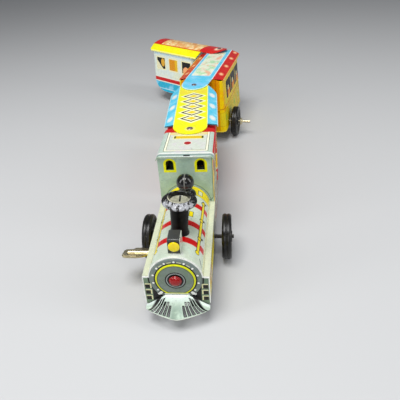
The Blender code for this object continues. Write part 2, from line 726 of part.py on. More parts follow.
def clockwork(loco):
    """The spring motor that drives the big wheels."""
    key, middle, axle = train_centres()
    clockwork_frame(loco, (key, middle, axle))
    mainspring(loco, key)
    winding(loco, key)
    great_phase = bearing(key, middle)
    great_low = GREAT_X - 0.6 * MM
    gear("great_wheel", loco, GREAT_TEETH, key, great_phase, great_low, great_low + 1.2 * MM,
         ARBOR_RADIUS + BORE_GAP, BRASS)
    pinion_phase = meshing_phase(PINION_TEETH, GREAT_TEETH, great_phase, bearing(key, middle))
    gear("intermediate_pinion", loco, PINION_TEETH, middle, pinion_phase, GREAT_X - 1.6 * MM, GREAT_X + 1.6 * MM,
         ARBOR_RADIUS + GAP, BRASS)
    gear_phase = bearing(middle, axle)
    gear("intermediate_wheel", loco, GEAR_TEETH, middle, gear_phase, GEAR_X - 0.6 * MM, GEAR_X + 0.6 * MM,
         ARBOR_RADIUS + GAP, BRASS)
    drive_phase = meshing_phase(PINION_TEETH, GEAR_TEETH, gear_phase, bearing(middle, axle))
    gear("drive_pinion", loco, PINION_TEETH, axle, drive_phase, GEAR_X - 1.6 * MM, GEAR_X + 1.6 * MM,
         AXLE_RADIUS + GAP, BRASS)
    reach = MOTOR_X + 1.4 * MM
    finish("intermediate_arbor", rod(ARBOR_RADIUS, -reach, reach, "X", (0, *middle)), STEEL, loco, smooth=True)
    click(loco, key)


def click(loco, centre):
    """The click on the great wheel, standing just clear of the ratchet's teeth."""
    x_low = 1.0 * MM
    outline = [(4.9, 2.2), (5.2, 1.0), (9.2, 3.0), (9.6, 4.6), (8.4, 5.4), (7.2, 4.6)]
    points = [(centre[0] + y * MM, centre[1] + z * MM) for y, z in outline]
    made = finish("click", prism(points, x_low, x_low + 1.2 * MM, "X"), STEEL, loco)
    pin = (0, centre[0] + 8.4 * MM, centre[1] + 4.0 * MM)
    merge(made, rod(0.7 * MM, x_low + 0.4 * MM, GREAT_X - 0.6 * MM - GAP, "X", pin, 10))


# ---------------------------------------------------------------- cars

def roof_section(half, top, drop, crown=0.0):
    """A car roof's cross-section: a flat or crowned middle, sloping sides and a short turned-down edge."""
    lip = 1.1 * MM
    middle = []
    if crown:
        middle = [(x * FLAT_HALF, top + crown * (1 - x * x)) for x in (-0.6, -0.2, 0.2, 0.6)]
    left = [(-half, top - drop - lip), (-half, top - drop), (-FLAT_HALF, top)]
    return left + middle + [(-x, z) for x, z in reversed(left)]


def tongue_plan(width, reach, root, half, shoulder, rear, corner):
    """Plan of a car roof: a round tongue, shoulders swept back from its root, and a rounded rear end."""
    right = []
    for step in range(9):
        angle = math.radians(-90 + 90 * step / 8)
        right.append((width * math.cos(angle) + 0.01 * MM, root + reach * math.sin(angle)))
    right += [(FLAT_HALF, shoulder[0]), (half, shoulder[1])]
    for step in range(11):
        angle = math.radians(90 * step / 10)
        right.append((half - corner[0] + corner[0] * math.cos(angle), rear - corner[1] + corner[1] * math.sin(angle)))
    return right + [(-x, y) for x, y in reversed(right)]


def car_roof(name, car, section, plan, rivets, colour):
    """A car roof with its tongue, bored for the rivets."""
    top = max(z for x, z in section)
    front = min(y for x, y in plan)
    rear = max(y for x, y in plan)
    mesh = prism(folded(section, SHEET), front - 1 * MM, rear + 1 * MM, "Y")
    made = finish(name, mesh, colour, car)
    keep_inside(made, prism(plan, top - 12 * MM, top + 4 * MM, "Z"))
    for y in rivets:
        drill(made, rod(RIVET_RADIUS + BORE_GAP, top - 6 * MM, top + 5 * MM, "Z", (0, y, 0), 16))
    return made


def car_body(name, car, section, half_top, half_bottom, front, rear, colour, corner=5.5 * MM):
    """A car's walls: a flared sleeve with round corners, trimmed to the underside of its roof."""
    steps = 6
    top = max(z for x, z in section)
    rings = []
    shrink = [(half_bottom, 0.0, CAR_BOTTOM_Z, 0), (half_top, 0.4 * MM, top, 0)]
    for half, inset, height, _ in shrink:
        plan = rounded_box(half, front + inset, rear - inset, corner, steps)
        rings.append([(x, y, height) for x, y in plan])
    inner = []
    for half, inset, height, _ in reversed(shrink):
        plan = rounded_box(half - SHEET, front + inset + SHEET, rear - inset - SHEET, corner - SHEET, steps)
        inner.append([(x, y, height) for x, y in plan])
    made = finish(name, loft(rings + inner + [rings[0]], cap=False), colour, car, smooth=False)
    weld = made.modifiers.new("weld", "WELD")
    weld.merge_threshold = 0.00001
    under = [(x, z - (SHEET + GAP) * 1.15) for x, z in section[1:-1]]
    reach = under[-1][0] + 1 * MM
    under = [(-reach, under[0][1])] + under + [(reach, under[-1][1])]
    region = under + [(reach, top + 5 * MM), (-reach, top + 5 * MM)]
    drill(made, prism(region, front - 3 * MM, rear + 3 * MM, "Y"))
    return made


def coupling_rivet(number, car, top, grip=2 * SHEET + GAP):
    """The hollow rivet that pins a car's tongue to the roof ahead of it."""
    low = top - grip
    head = RIVET_HEAD
    profile = [(0, low - GAP - 0.6 * MM), (head * 0.9, low - GAP - 0.6 * MM), (head * 0.9, low - GAP)]
    profile += [(RIVET_RADIUS, low - GAP), (RIVET_RADIUS, top + GAP), (head, top + GAP)]
    profile += [(head * 0.93, top + GAP + 0.4 * MM), (head * 0.6, top + GAP + 0.6 * MM), (0, top + GAP + 0.6 * MM)]
    finish("coupling_rivet_%d" % number, lathe(profile, 20), STEEL, car, smooth=True)


def axle_floor(name, car, half, front, rear, axle_y, axle_z, ear_x):
    """A flat floor with two ears turned down to carry an axle."""
    low = 18.6 * MM
    outline = [(-half, front), (half, front), (half, rear), (-half, rear)]
    made = finish(name, prism(outline, low, low + MOTOR_SHEET, "Z"), STEEL, car)
    ear = [(axle_y - 5 * MM, low + 0.4 * MM), (axle_y + 5 * MM, low + 0.4 * MM), (axle_y + 2.6 * MM, axle_z - 2.8 * MM)]
    ear += [(axle_y - 2.6 * MM, axle_z - 2.8 * MM)]
    for side in (-1, 1):
        merge(made, prism(ear, side * ear_x - MOTOR_SHEET / 2, side * ear_x + MOTOR_SHEET / 2, "X"))
    drill(made, rod(AXLE_RADIUS + BORE_GAP, -30 * MM, 30 * MM, "X", (0, axle_y, axle_z), 16))
    return made


def first_car(car):
    """The car hung between the locomotive and the second car."""
    top = ROOF_Z + ROOF_STEP
    half = 21.0 * MM
    section = roof_section(half, top, 3.9 * MM)
    plan = tongue_plan(FLAT_HALF, 14.0 * MM, 5.3 * MM, half, (7.6 * MM, 14.2 * MM), 106.2 * MM, (half, 23.6 * MM))
    car_roof("car1_roof", car, section, plan, (0, PIVOT_2_Y), CAR_YELLOW)
    car_body("car1_body", car, section, 19.2 * MM, 19.6 * MM, 14.8 * MM, 92.0 * MM, CAR_CYAN)
    coupling_rivet(1, car, top)


def second_car(car):
    """The wheeled car in the middle of the train."""
    top = ROOF_Z + 2 * ROOF_STEP
    half = 23.0 * MM
    section = roof_section(half, top, 3.6 * MM)
    rear = PIVOT_3_Y + 8.9 * MM
    tongue = 12.4 * MM
    plan = tongue_plan(tongue, 16.5 * MM, 3.8 * MM, half, (20.6 * MM, 29.0 * MM), rear, (7 * MM, 5 * MM))
    car_roof("car2_roof", car, section, plan, (0, PIVOT_3_Y), CAR_RED)
    front, behind = 21.8 * MM, PIVOT_3_Y - 3.4 * MM
    body = car_body("car2_body", car, section, 21.5 * MM, 25.4 * MM, front, behind, CAR_YELLOW)
    axle_y = 49.4 * MM
    drill(body, rod(4.2 * MM, -40 * MM, 40 * MM, "X", (0, axle_y, WHEEL_RADIUS)))
    axle_floor("car2_floor", car, 23.6 * MM, front + 4.6 * MM, behind - 4.6 * MM, axle_y, WHEEL_RADIUS, 17 * MM)
    place = (0, axle_y, WHEEL_RADIUS)
    shaft = finish("car2_axle", rod(AXLE_RADIUS, -35.6 * MM, 46.2 * MM, "X", place), STEEL, car, smooth=True)
    collar = [(AXLE_RADIUS / 2, 35.4 * MM), (3.0 * MM, 35.4 * MM), (3.9 * MM, 36.2 * MM), (3.4 * MM, 37.6 * MM)]
    collar += [(AXLE_RADIUS / 2, 38.2 * MM)]
    merge(shaft, lathe(collar, 20, "X", place, closed=True))
    for name, side in (("car2_wheel_left", -1), ("car2_wheel_right", 1)):
        wheel(name, car, WHEEL_RADIUS, WHEEL_WIDTH, (side * CAR_WHEEL_X, axle_y, WHEEL_RADIUS))
    coupling_rivet(2, car, top)


def third_car(car):
    """The short tail car, with its lower rear corners rounded up."""
    top = ROOF_Z + 3 * ROOF_STEP
    half = 21.6 * MM
    rear = 101.0 * MM
    section = roof_section(half, top, 6.4 * MM, 2.4 * MM)
    plan = tongue_plan(FLAT_HALF, 13.0 * MM, 5.0 * MM, half, (17.6 * MM, 19.0 * MM), rear, (3 * MM, 3 * MM))
    car_roof("car3_roof", car, section, plan, (0,), CAR_RED)
    body = car_body("car3_body", car, section, 20.2 * MM, 21.6 * MM, 24.0 * MM, rear - 2 * MM, CAR_CYAN)
    radius = 22 * MM
    centre = (rear - 2 * MM - radius, CAR_BOTTOM_Z + radius)
    corner = arc(centre, radius, -90, 0, 8) + [(rear + 8 * MM, centre[1]), (rear + 8 * MM, CAR_BOTTOM_Z - 6 * MM)]
    corner += [(centre[0], CAR_BOTTOM_Z - 6 * MM)]
    drill(body, prism(corner, -40 * MM, 40 * MM, "X"))
    axle_y = 52.0 * MM
    axle_floor("car3_floor", car, 18.6 * MM, 28.6 * MM, centre[0], axle_y, TAIL_RADIUS, 10 * MM)
    place = (0, axle_y, TAIL_RADIUS)
    finish("car3_axle", rod(AXLE_RADIUS, -15.6 * MM, 15.6 * MM, "X", place), STEEL, car, smooth=True)
    for name, side in (("car3_wheel_left", -1), ("car3_wheel_right", 1)):
        wheel(name, car, TAIL_RADIUS, SMALL_WIDTH, (side * 13.0 * MM, axle_y, TAIL_RADIUS), 28)
    coupling_rivet(3, car, top + 2.4 * MM, 2 * SHEET + GAP + 2.4 * MM)


# ---------------------------------------------------------------- whole train

def locomotive(loco):
    """Everything that is fixed to or turns in the locomotive."""
    footplate(loco)
    boiler_shell(loco)
    front_plate(loco)
    smokebox_jewel(loco)
    cowcatcher(loco)
    base_plate(loco)
    cab_shell(loco)
    cab_roof(loco)
    headlamp(loco)
    chimney(loco)
    dome(loco)
    front_axle(loco)
    drive_axle(loco)
    clockwork(loco)


def centre_on_ground(root):
    """Moves the train so that its box is centred on the origin, standing on z = 0."""
    bpy.context.view_layer.update()
    graph = bpy.context.evaluated_depsgraph_get()
    low = Vector((math.inf, math.inf, math.inf))
    high = -low
    for item in bpy.context.scene.objects:
        if item.type != "MESH" or item.hide_render:
            continue
        shape = item.evaluated_get(graph)
        for vertex in shape.data.vertices:
            place = shape.matrix_world @ vertex.co
            low = Vector(map(min, low, place))
            high = Vector(map(max, high, place))
    root.location -= Vector(((low.x + high.x) / 2, (low.y + high.y) / 2, low.z))
    bpy.context.view_layer.update()


def main():
    for item in list(bpy.data.objects):
        bpy.data.objects.remove(item, do_unlink=True)
    loco = vehicle("locomotive_frame", None, (0, 0, 0), 0)
    locomotive(loco)
    car1 = vehicle("car1_frame", loco, (0, PIVOT_1_Y, 0), TURN_1)
    first_car(car1)
    car2 = vehicle("car2_frame", car1, (0, PIVOT_2_Y, 0), TURN_2)
    second_car(car2)
    car3 = vehicle("car3_frame", car2, (0, PIVOT_3_Y, 0), TURN_3)
    third_car(car3)
    centre_on_ground(loco)


main()
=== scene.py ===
"""The looks of a wind-up tin train: a clockwork locomotive and three cars riveted on behind it.

Every length below is in millimetres in a vehicle's own frame, unless its name says otherwise.
A vehicle's frame has x across it, y backwards from its front plate or its coupling rivet, and z up from the
ground. The printed tin is drawn by shader nodes in that frame, one flat ink over another.
"""
import json
import math

import bmesh
import bpy
from mathutils import Matrix, Vector


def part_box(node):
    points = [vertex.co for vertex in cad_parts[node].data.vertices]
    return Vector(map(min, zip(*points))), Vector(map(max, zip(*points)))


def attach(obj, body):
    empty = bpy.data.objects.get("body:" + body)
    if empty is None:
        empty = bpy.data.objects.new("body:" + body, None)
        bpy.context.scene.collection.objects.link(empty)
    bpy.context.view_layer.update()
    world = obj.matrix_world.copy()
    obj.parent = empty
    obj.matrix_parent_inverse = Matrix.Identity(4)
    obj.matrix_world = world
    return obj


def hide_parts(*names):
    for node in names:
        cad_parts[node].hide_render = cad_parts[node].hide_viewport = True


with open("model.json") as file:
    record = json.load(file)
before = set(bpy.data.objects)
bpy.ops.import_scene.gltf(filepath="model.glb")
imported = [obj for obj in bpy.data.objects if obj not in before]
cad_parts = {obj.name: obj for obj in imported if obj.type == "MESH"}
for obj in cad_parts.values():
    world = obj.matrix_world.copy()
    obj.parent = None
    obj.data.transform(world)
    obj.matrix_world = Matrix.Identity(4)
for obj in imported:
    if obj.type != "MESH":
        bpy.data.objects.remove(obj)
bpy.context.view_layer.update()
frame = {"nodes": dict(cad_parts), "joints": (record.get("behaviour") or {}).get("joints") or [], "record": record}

MM = 0.001
NODES = frame["nodes"]
JOINTS = {joint["name"]: joint for joint in frame["joints"]}
SLOTS = {part["node"]: part["material_slot"] for part in frame["record"]["subparts"]}
BODY_OF = {node: body for body, nodes in frame["record"]["behaviour"]["bodies"].items() for node in nodes}

# The design's own measures, which the prints and the finer pieces follow
HALF_WIDTH = 19.0
DECK_Z = 32.3
CAB_FRONT_Y = 77.1
BOILER_Z = 30.7
BOILER_RADIUS = 15.6
SADDLE_RADIUS = BOILER_RADIUS + 0.3  # what stands on the boiler keeps a little air under it
BOILER_TOP = BOILER_Z + SADDLE_RADIUS
CHIMNEY_X, CHIMNEY_Y = 0.9, 24.1
CHIMNEY_LEAN = math.radians(4.0)
DOME_X, DOME_Y = 0.6, 66.3
LAMP_X = 0.3
WHEEL_RADIUS = 15.6
WHEEL_WIDTH = 6.2
DRIVE_AXLE_X, DRIVE_AXLE_Y = 0.8, 58.8
DRIVE_WHEEL_REACH = 26.6  # from the axle's middle to the middle of each wheel
CAR_WHEEL_REACH = 30.8
CAR_AXLE_Y = 49.4

# The fan's slots: inner and outer edge as a share of its half width, and the row where each begins.
# The rows: how far down the fan each line of points lies.
FAN_SLOTS = ((0.25, 0.315, 3), (0.385, 0.45, 2), (0.52, 0.585, 2), (0.66, 0.725, 1), (0.80, 0.865, 1))
FAN_ROWS = (0.0, 0.14, 0.3, 0.44, 0.6, 0.75, 0.9, 1.0)

BLUR = 0.08  # half the width of a printed edge's soft step
RELIEF = 0.02  # depth of the finest bumps
WELD = 0.004  # corners nearer than this are one
FLAT_ANGLE = math.radians(0.8)  # faces that bend less than this are one
EDGE_ANGLE = math.radians(38)  # edges that bend more than this are rolled


# ---- vehicles

class Vehicle:
    """A vehicle's frame in the row frame."""

    def __init__(self, origin, heading):
        self.origin = Vector((origin.x, origin.y, 0))
        self.heading = heading
        self.matrix = Matrix.Translation(self.origin) @ Matrix.Rotation(heading, 4, "Z") @ Matrix.Scale(MM, 4)


def pivot(name):
    """Where a joint is, in metres."""
    return Vector(JOINTS[name]["pos_m"])


def heading_of_axle(name):
    """The heading of the car whose axle this is."""
    axis = JOINTS[name]["axis"]
    return math.atan2(axis[1], axis[0])


REACH_1 = pivot("coupling_2_swing") - pivot("coupling_1_swing")
ENGINE = Vehicle(pivot("driving_axle_turn") - Vector((0, DRIVE_AXLE_Y * MM, 0)), 0)
CAR_1 = Vehicle(pivot("coupling_1_swing"), math.atan2(-REACH_1.x, REACH_1.y))
CAR_2 = Vehicle(pivot("coupling_2_swing"), heading_of_axle("car2_axle_turn"))
CAR_3 = Vehicle(pivot("coupling_3_swing"), heading_of_axle("car3_axle_turn"))


# ---- inks and printed tin

def ink(red, green, blue):
    """A colour given as the eye names it, 0 to 255, as the linear colour that shaders use."""
    def linear(value):
        value /= 255
        return value / 12.92 if value <= 0.04045 else ((value + 0.055) / 1.055) ** 2.4
    return (linear(red), linear(green), linear(blue), 1)


BLACK = ink(10, 10, 12)
WHITE = ink(240, 242, 236)
CREAM = ink(230, 226, 176)
CAB_GREEN = ink(164, 190, 172)
SLATE = ink(112, 124, 122)
YELLOW = ink(244, 222, 10)
LIME = ink(222, 226, 12)
ROOF_YELLOW = ink(240, 240, 8)
ORANGE = ink(218, 108, 8)
RED = ink(204, 8, 10)
CYAN = ink(84, 204, 238)
PEACH = ink(252, 176, 120)
OLIVE = ink(70, 78, 22)


class Print:
    """A sheet's print: a base colour with flat inks laid over it, in the vehicle's millimetres.

    A mask is a node's output from 0 to 1. While a stencil is set, inks land only where its masks are 1.
    """

    def __init__(self, name, vehicle, base, metallic=0.0, gloss=0.2):
        self.material = bpy.data.materials.new(name)
        self.material.use_nodes = True
        self.tree = self.material.node_tree
        self.tree.nodes.clear()
        self.colour = base
        self.metallic = metallic
        self.gloss = gloss
        self.stencil = ()
        turn = Matrix.Rotation(-vehicle.heading, 3, "Z")
        self.point = self.node("ShaderNodeMapping", {
            "Vector": self.node("ShaderNodeTexCoord").outputs["Object"],
            "Location": -(turn @ vehicle.origin) / MM,
            "Rotation": (0, 0, -vehicle.heading),
            "Scale": (1 / MM, 1 / MM, 1 / MM),
        }).outputs["Vector"]
        self.x, self.y, self.z = self.node("ShaderNodeSeparateXYZ", {0: self.point}).outputs
        self.aside = self.calc("ABSOLUTE", self.x)

    def node(self, kind, inputs=None, **settings):
        """A shader node. Each input is a number, a colour or another node's output."""
        made = self.tree.nodes.new(kind)
        for name, value in settings.items():
            setattr(made, name, value)
        for place, value in (inputs or {}).items():
            if isinstance(value, bpy.types.NodeSocket):
                self.tree.links.new(value, made.inputs[place])
            else:
                made.inputs[place].default_value = value
        return made

    def calc(self, kind, *values):
        return self.node("ShaderNodeMath", dict(enumerate(values)), operation=kind).outputs[0]

    def vector(self, kind, *values):
        made = self.node("ShaderNodeVectorMath", dict(enumerate(values)), operation=kind)
        return made.outputs["Value" if kind in ("LENGTH", "DISTANCE", "DOT_PRODUCT") else "Vector"]

    def pair(self, u, v):
        return self.node("ShaderNodeCombineXYZ", {0: u, 1: v}).outputs[0]

    def around(self, radius):
        """How far round the boiler's axis a point lies, along a circle of this radius."""
        angle = self.calc("ARCTAN2", self.x, self.calc("SUBTRACT", self.z, BOILER_Z))
        return self.calc("MULTIPLY", angle, radius)

    def wrap(self, value, period, start=0.0):
        """The value counted from the middle of the repeat it lies in."""
        return self.calc("WRAP", self.calc("SUBTRACT", value, start), period / 2, -period / 2)

    def below(self, value, edge, blur=BLUR):
        """1 where the value is under the edge, with a soft step."""
        step = {"Value": value, "From Min": edge - blur, "From Max": edge + blur, "To Min": 1, "To Max": 0}
        return self.node("ShaderNodeMapRange", step, interpolation_type="SMOOTHSTEP").outputs[0]

    def above(self, value, edge, blur=BLUR):
        return self.calc("SUBTRACT", 1, self.below(value, edge, blur))

    def band(self, value, low, high, blur=BLUR):
        middle = self.calc("ABSOLUTE", self.calc("SUBTRACT", value, (low + high) / 2))
        return self.below(middle, (high - low) / 2, blur)

    def patch(self, u, v, centre, half, corner=0.05, blur=BLUR):
        """A rectangle with round corners."""
        away = self.vector("ABSOLUTE", self.vector("SUBTRACT", self.pair(u, v), (*centre, 0)))
        away = self.vector("SUBTRACT", away, (half[0] - corner, half[1] - corner, 0))
        return self.below(self.vector("LENGTH", self.vector("MAXIMUM", away, (0, 0, 0))), corner, blur)

    def spot(self, u, v, centre, radii, blur=BLUR):
        """An ellipse."""
        away = self.vector("SUBTRACT", self.pair(u, v), (*centre, 0))
        away = self.vector("DIVIDE", away, (*radii, 1))
        return self.below(self.vector("LENGTH", away), 1, blur / min(radii))

    def ring(self, u, v, centre, radius, half):
        away = self.vector("DISTANCE", self.pair(u, v), (*centre, 0))
        return self.band(away, radius - half, radius + half)

    def stroke(self, u, v, first, second, half):
        """A straight line with round ends."""
        run = Vector((second[0] - first[0], second[1] - first[1], 0))
        away = self.vector("SUBTRACT", self.pair(u, v), (*first, 0))
        along = self.calc("DIVIDE", self.vector("DOT_PRODUCT", away, tuple(run)), run.length_squared)
        along = self.calc("MINIMUM", self.calc("MAXIMUM", along, 0), 1)
        nearest = self.node("ShaderNodeVectorMath", {0: tuple(run), "Scale": along}, operation="SCALE")
        return self.below(self.vector("DISTANCE", away, nearest.outputs[0]), half)

    def lozenge(self, u, v, centre, radii, blur):
        across = self.calc("DIVIDE", self.calc("ABSOLUTE", self.calc("SUBTRACT", u, centre[0])), radii[0])
        along = self.calc("DIVIDE", self.calc("ABSOLUTE", self.calc("SUBTRACT", v, centre[1])), radii[1])
        return self.below(self.calc("ADD", across, along), 1, blur / min(radii))

    def cloud(self, scale, low, high, detail=2.0, stretch=(1, 1, 1)):
        """Soft noise as a mask: 0 under low, 1 over high. The scale is in patches per millimetre."""
        place = self.node("ShaderNodeMapping", {"Vector": self.point, "Scale": stretch})
        grain = {"Vector": place.outputs[0], "Scale": scale, "Detail": detail}
        noise = self.node("ShaderNodeTexNoise", grain).outputs["Fac"]
        span = {"Value": noise, "From Min": low, "From Max": high}
        return self.node("ShaderNodeMapRange", span).outputs[0]

    def only_on(self, *masks):
        """Sets the stencil. Without masks it clears it."""
        self.stencil = masks

    def paint(self, masks, colour, strength=1):
        """Lays an ink over what is there, where the mask, or each mask of a tuple, is 1."""
        factor, *others = self.stencil + (masks if isinstance(masks, tuple) else (masks,))
        for mask in others:
            factor = self.calc("MULTIPLY", factor, mask)
        if strength != 1:
            factor = self.calc("MULTIPLY", factor, strength)
        mix = {"Factor": factor, "A": self.colour, "B": colour}
        self.colour = self.node("ShaderNodeMix", mix, data_type="RGBA").outputs["Result"]

    def fill(self, colour, strength=1):
        """Lays an ink over the whole stencil."""
        self.paint((), colour, strength)

    def shaded(self, inputs, height=None, relief=0.0):
        """Ends the material with a shader that has these inputs, and relief from a height."""
        if height is not None:
            bump = {"Height": height, "Strength": relief, "Distance": RELIEF * MM}
            inputs["Normal"] = self.node("ShaderNodeBump", bump).outputs[0]
        shader = self.node("ShaderNodeBsdfPrincipled", {"Base Color": self.colour, **inputs})
        self.node("ShaderNodeOutputMaterial", {"Surface": shader.outputs[0]})
        return self.material

    def done(self, wear=1.0, coat=0.12, specular=0.3):
        """Adds handling wear, uneven varnish and fine relief, and returns the material."""
        self.only_on()
        self.paint(self.cloud(0.35, 0.45, 0.75), ink(110, 100, 60), 0.10 * wear)
        scratch = self.cloud(0.9, 0.70, 0.74, 4.0, (1, 0.16, 1))
        chips = self.cloud(1.6, 0.735, 0.75, 3.0)
        bare = self.calc("MULTIPLY", self.calc("MAXIMUM", scratch, chips), 0.55 * wear)
        self.paint(bare, ink(150, 146, 132))
        dull = self.cloud(0.18, 0.3, 0.7, 3.0)
        waves = self.cloud(0.22, 0.2, 0.8)
        height = self.calc("MULTIPLY_ADD", waves, 2.0, self.calc("MULTIPLY", bare, -0.6))
        return self.shaded({
            "Metallic": self.calc("MULTIPLY_ADD", bare, 0.6, self.metallic),
            "Roughness": self.calc("MULTIPLY_ADD", dull, 0.14, self.gloss),
            "Specular IOR Level": specular,
            "Coat Weight": coat,
            "Coat Roughness": self.calc("MULTIPLY_ADD", dull, 0.08, 0.06),
        }, height, 0.25)


# ---- prints of the locomotive

def boiler_print():
    """Pale boiler with three red bands, a yellow handrail a side, and a yellow ring before the cab."""
    p = Print("print_boiler", ENGINE, ink(206, 218, 198), metallic=0.12)
    around = p.around(BOILER_RADIUS)
    wide = p.calc("ABSOLUTE", around)
    p.paint(p.cloud(0.16, 0.45, 0.7), ink(206, 226, 206), 0.6)
    p.paint(p.cloud(0.13, 0.52, 0.75, 2, (1, 0.6, 1.4)), ink(214, 206, 222), 0.45)
    p.only_on(p.above(around, -14.2), p.below(around, 19.6))
    for middle in (16.8, 33.6, 54.4):
        p.paint(p.band(p.y, middle - 2.75, middle + 2.75), ink(226, 150, 140), 0.6)
        p.paint(p.band(p.y, middle - 2.3, middle + 2.3), RED)
    p.only_on()
    p.paint(p.band(p.y, 65.9, 76.4), BLACK, 0.75)
    p.paint(p.band(p.y, 66.4, 75.9), YELLOW)
    plate, knob, rail = (10.6, 70.6), (13.6, 10.9), ((13.9, 12.6), (14.5, 62.5))
    p.paint(p.patch(wide, p.y, plate, (1.9, 2.6), 0.3), OLIVE)
    p.paint(p.patch(wide, p.y, plate, (1.5, 2.2), 0.3), ink(222, 226, 190))
    p.paint(p.stroke(wide, p.y, *rail, 1.3), BLACK)
    p.paint(p.stroke(wide, p.y, *rail, 0.85), YELLOW)
    p.paint(p.spot(wide, p.y, knob, (1.75, 1.75)), BLACK)
    p.paint(p.spot(wide, p.y, knob, (1.35, 1.35)), YELLOW)
    for y in (24.0, 42.0, 61.0):
        p.paint(p.stroke(wide, p.y, (14.1, y), (16.6, y + 1.6), 0.75), BLACK)
        p.paint(p.spot(wide, p.y, (14.1, y), (1.75, 1.75)), BLACK)
        p.paint(p.spot(wide, p.y, (14.1, y), (1.2, 1.2)), YELLOW)
    p.paint(p.stroke(around, p.y, (16.0, 7.6), (18.6, 3.6), 0.28), BLACK)
    p.paint(p.patch(around, p.y, (6.1, 43.2), (1.5, 2.9), 0.4), OLIVE)
    p.paint(p.patch(around, p.y, (6.1, 43.2), (1.1, 2.5), 0.4), YELLOW)
    p.paint(p.stroke(around, p.y, (-17.6, 6.0), (-17.9, 62.0), 0.5), LIME, 0.8)
    p.paint(p.above(wide, 20.2), CREAM, 0.8)
    # painted highlight: white along the boiler's front edge, where its rolled edge catches the light
    p.paint(p.below(p.y, 1.1), WHITE, 0.6)
    return p.done()


def front_print():
    """The smokebox front: bolts round a yellow-ringed door, a stack of three black steps at each side, a painted
    highlight along its top edge, and painted shade below the door behind the fan.
    """
    p = Print("print_front", ENGINE, ink(104, 128, 104), metallic=0.1)
    u, v = p.x, p.z
    centre = (0, BOILER_Z)
    away = p.vector("DISTANCE", p.pair(u, v), (*centre, 0))
    low = p.below(v, 31.8)
    p.paint(p.cloud(0.2, 0.35, 0.7), ink(124, 146, 118), 0.7)
    # painted highlight: white round the top of the smokebox front, where the boiler's front edge catches the light
    p.paint((p.above(away, 14.9), p.above(v, 31.5)), WHITE)
    p.paint((low, p.above(p.aside, 18.45)), WHITE)
    # painted shade: black on the plate below the door, behind the fan, so its slots look dark
    p.paint((p.above(away, 15.1), p.below(p.aside, 14.0), p.below(v, 24.0)), BLACK)
    p.paint((low, p.ring(u, v, centre, 15.5, 0.42)), BLACK)
    for z in (25.2, 20.7, 16.2):
        p.paint(p.patch(p.aside, v, (16.2, z + 0.3), (1.85, 1.75), 0.1), CREAM)
        p.paint(p.patch(p.aside, v, (16.55, z - 0.1), (1.45, 1.4), 0.1), BLACK)
    # painted shade: more black on the plate behind the fan
    p.paint(p.below(p.calc("MULTIPLY_ADD", p.aside, 0.66, v), 23.4), BLACK)
    p.paint(p.below(away, 14.95), SLATE)
    p.paint((p.cloud(0.3, 0.4, 0.7), p.band(away, 11.8, 14.9)), ink(132, 144, 124), 0.6)

    bolt_circle = 12.95
    step = bolt_circle * math.radians(25)
    turn = p.around(bolt_circle)
    bolt = p.wrap(turn, step)
    clear = p.above(v, 20.6)
    dash = p.patch(p.wrap(turn, step, step / 2), away, (0, 12.75), (1.3, 0.28), 0.2)
    p.paint((dash, p.above(v, 38.0)), ink(214, 216, 170), 0.9)
    p.paint((p.spot(bolt, away, (0.15, 12.75), (0.95, 0.95)), clear), BLACK, 0.7)
    p.paint((p.spot(bolt, away, (0, bolt_circle), (0.68, 0.68)), clear), WHITE)

    p.paint(p.ring(u, v, centre, 11.8, 0.42), BLACK)
    p.paint(p.ring(u, v, centre, 10.95, 0.5), LIME)
    p.paint(p.below(away, 10.45), OLIVE)
    p.paint(p.below(away, 10.1, 0.5), ink(112, 130, 112))
    p.paint((p.below(away, 9.9), p.cloud(0.25, 0.4, 0.65)), ink(126, 136, 132), 0.8)
    p.paint(p.below(away, 5.95), BLACK)
    p.paint(p.below(away, 5.25), ink(150, 162, 158))
    p.paint(p.below(away, 4.65), ink(14, 4, 4))
    p.paint((p.below(v, 21.0), p.below(p.aside, 6.6)), LIME)
    p.paint((p.below(v, 20.3), p.below(p.aside, 7.2)), WHITE)
    lug = (8.9, 21.2), (10.3, 19.6)
    p.paint(p.stroke(p.aside, v, *lug, 1.4), BLACK)
    p.paint(p.stroke(p.aside, v, *lug, 0.95), WHITE)
    return p.done()


def catcher_print():
    """The pale fan: bright along its top and foot, grey down its middle, and black painted in and round its slots
    as their shade.
    """
    p = Print("print_cowcatcher", ENGINE, ink(190, 208, 192), metallic=0.12)
    spread = p.node("ShaderNodeUVMap", uv_map="fan").outputs[0]
    across, down, _ = p.node("ShaderNodeSeparateXYZ", {0: spread}).outputs
    aside = p.calc("ABSOLUTE", p.calc("MULTIPLY_ADD", across, 2, -1))
    p.paint(p.below(down, 0.22, 0.18), ink(226, 240, 234), 0.9)
    p.paint((p.below(aside, 0.2, 0.08), p.above(down, 0.4, 0.25)), ink(146, 168, 152), 0.9)
    p.paint(p.cloud(0.25, 0.45, 0.7), ink(206, 226, 204), 0.5)
    line, sharp = 0.022, 0.008
    # painted shade: black over each slot's walls and a thin margin round it, so the slots look dark
    for inner, outer, top in FAN_SLOTS:
        slot_shade = p.band(aside, inner - line, outer + line, sharp)
        p.paint((slot_shade, p.band(down, FAN_ROWS[top] - 0.03, 0.92, 0.02)), BLACK)
    p.paint(p.band(aside, 0.925, 0.955, sharp), BLACK)
    p.paint(p.above(down, 0.965, 0.01), ink(232, 236, 222), 0.8)
    return p.done()


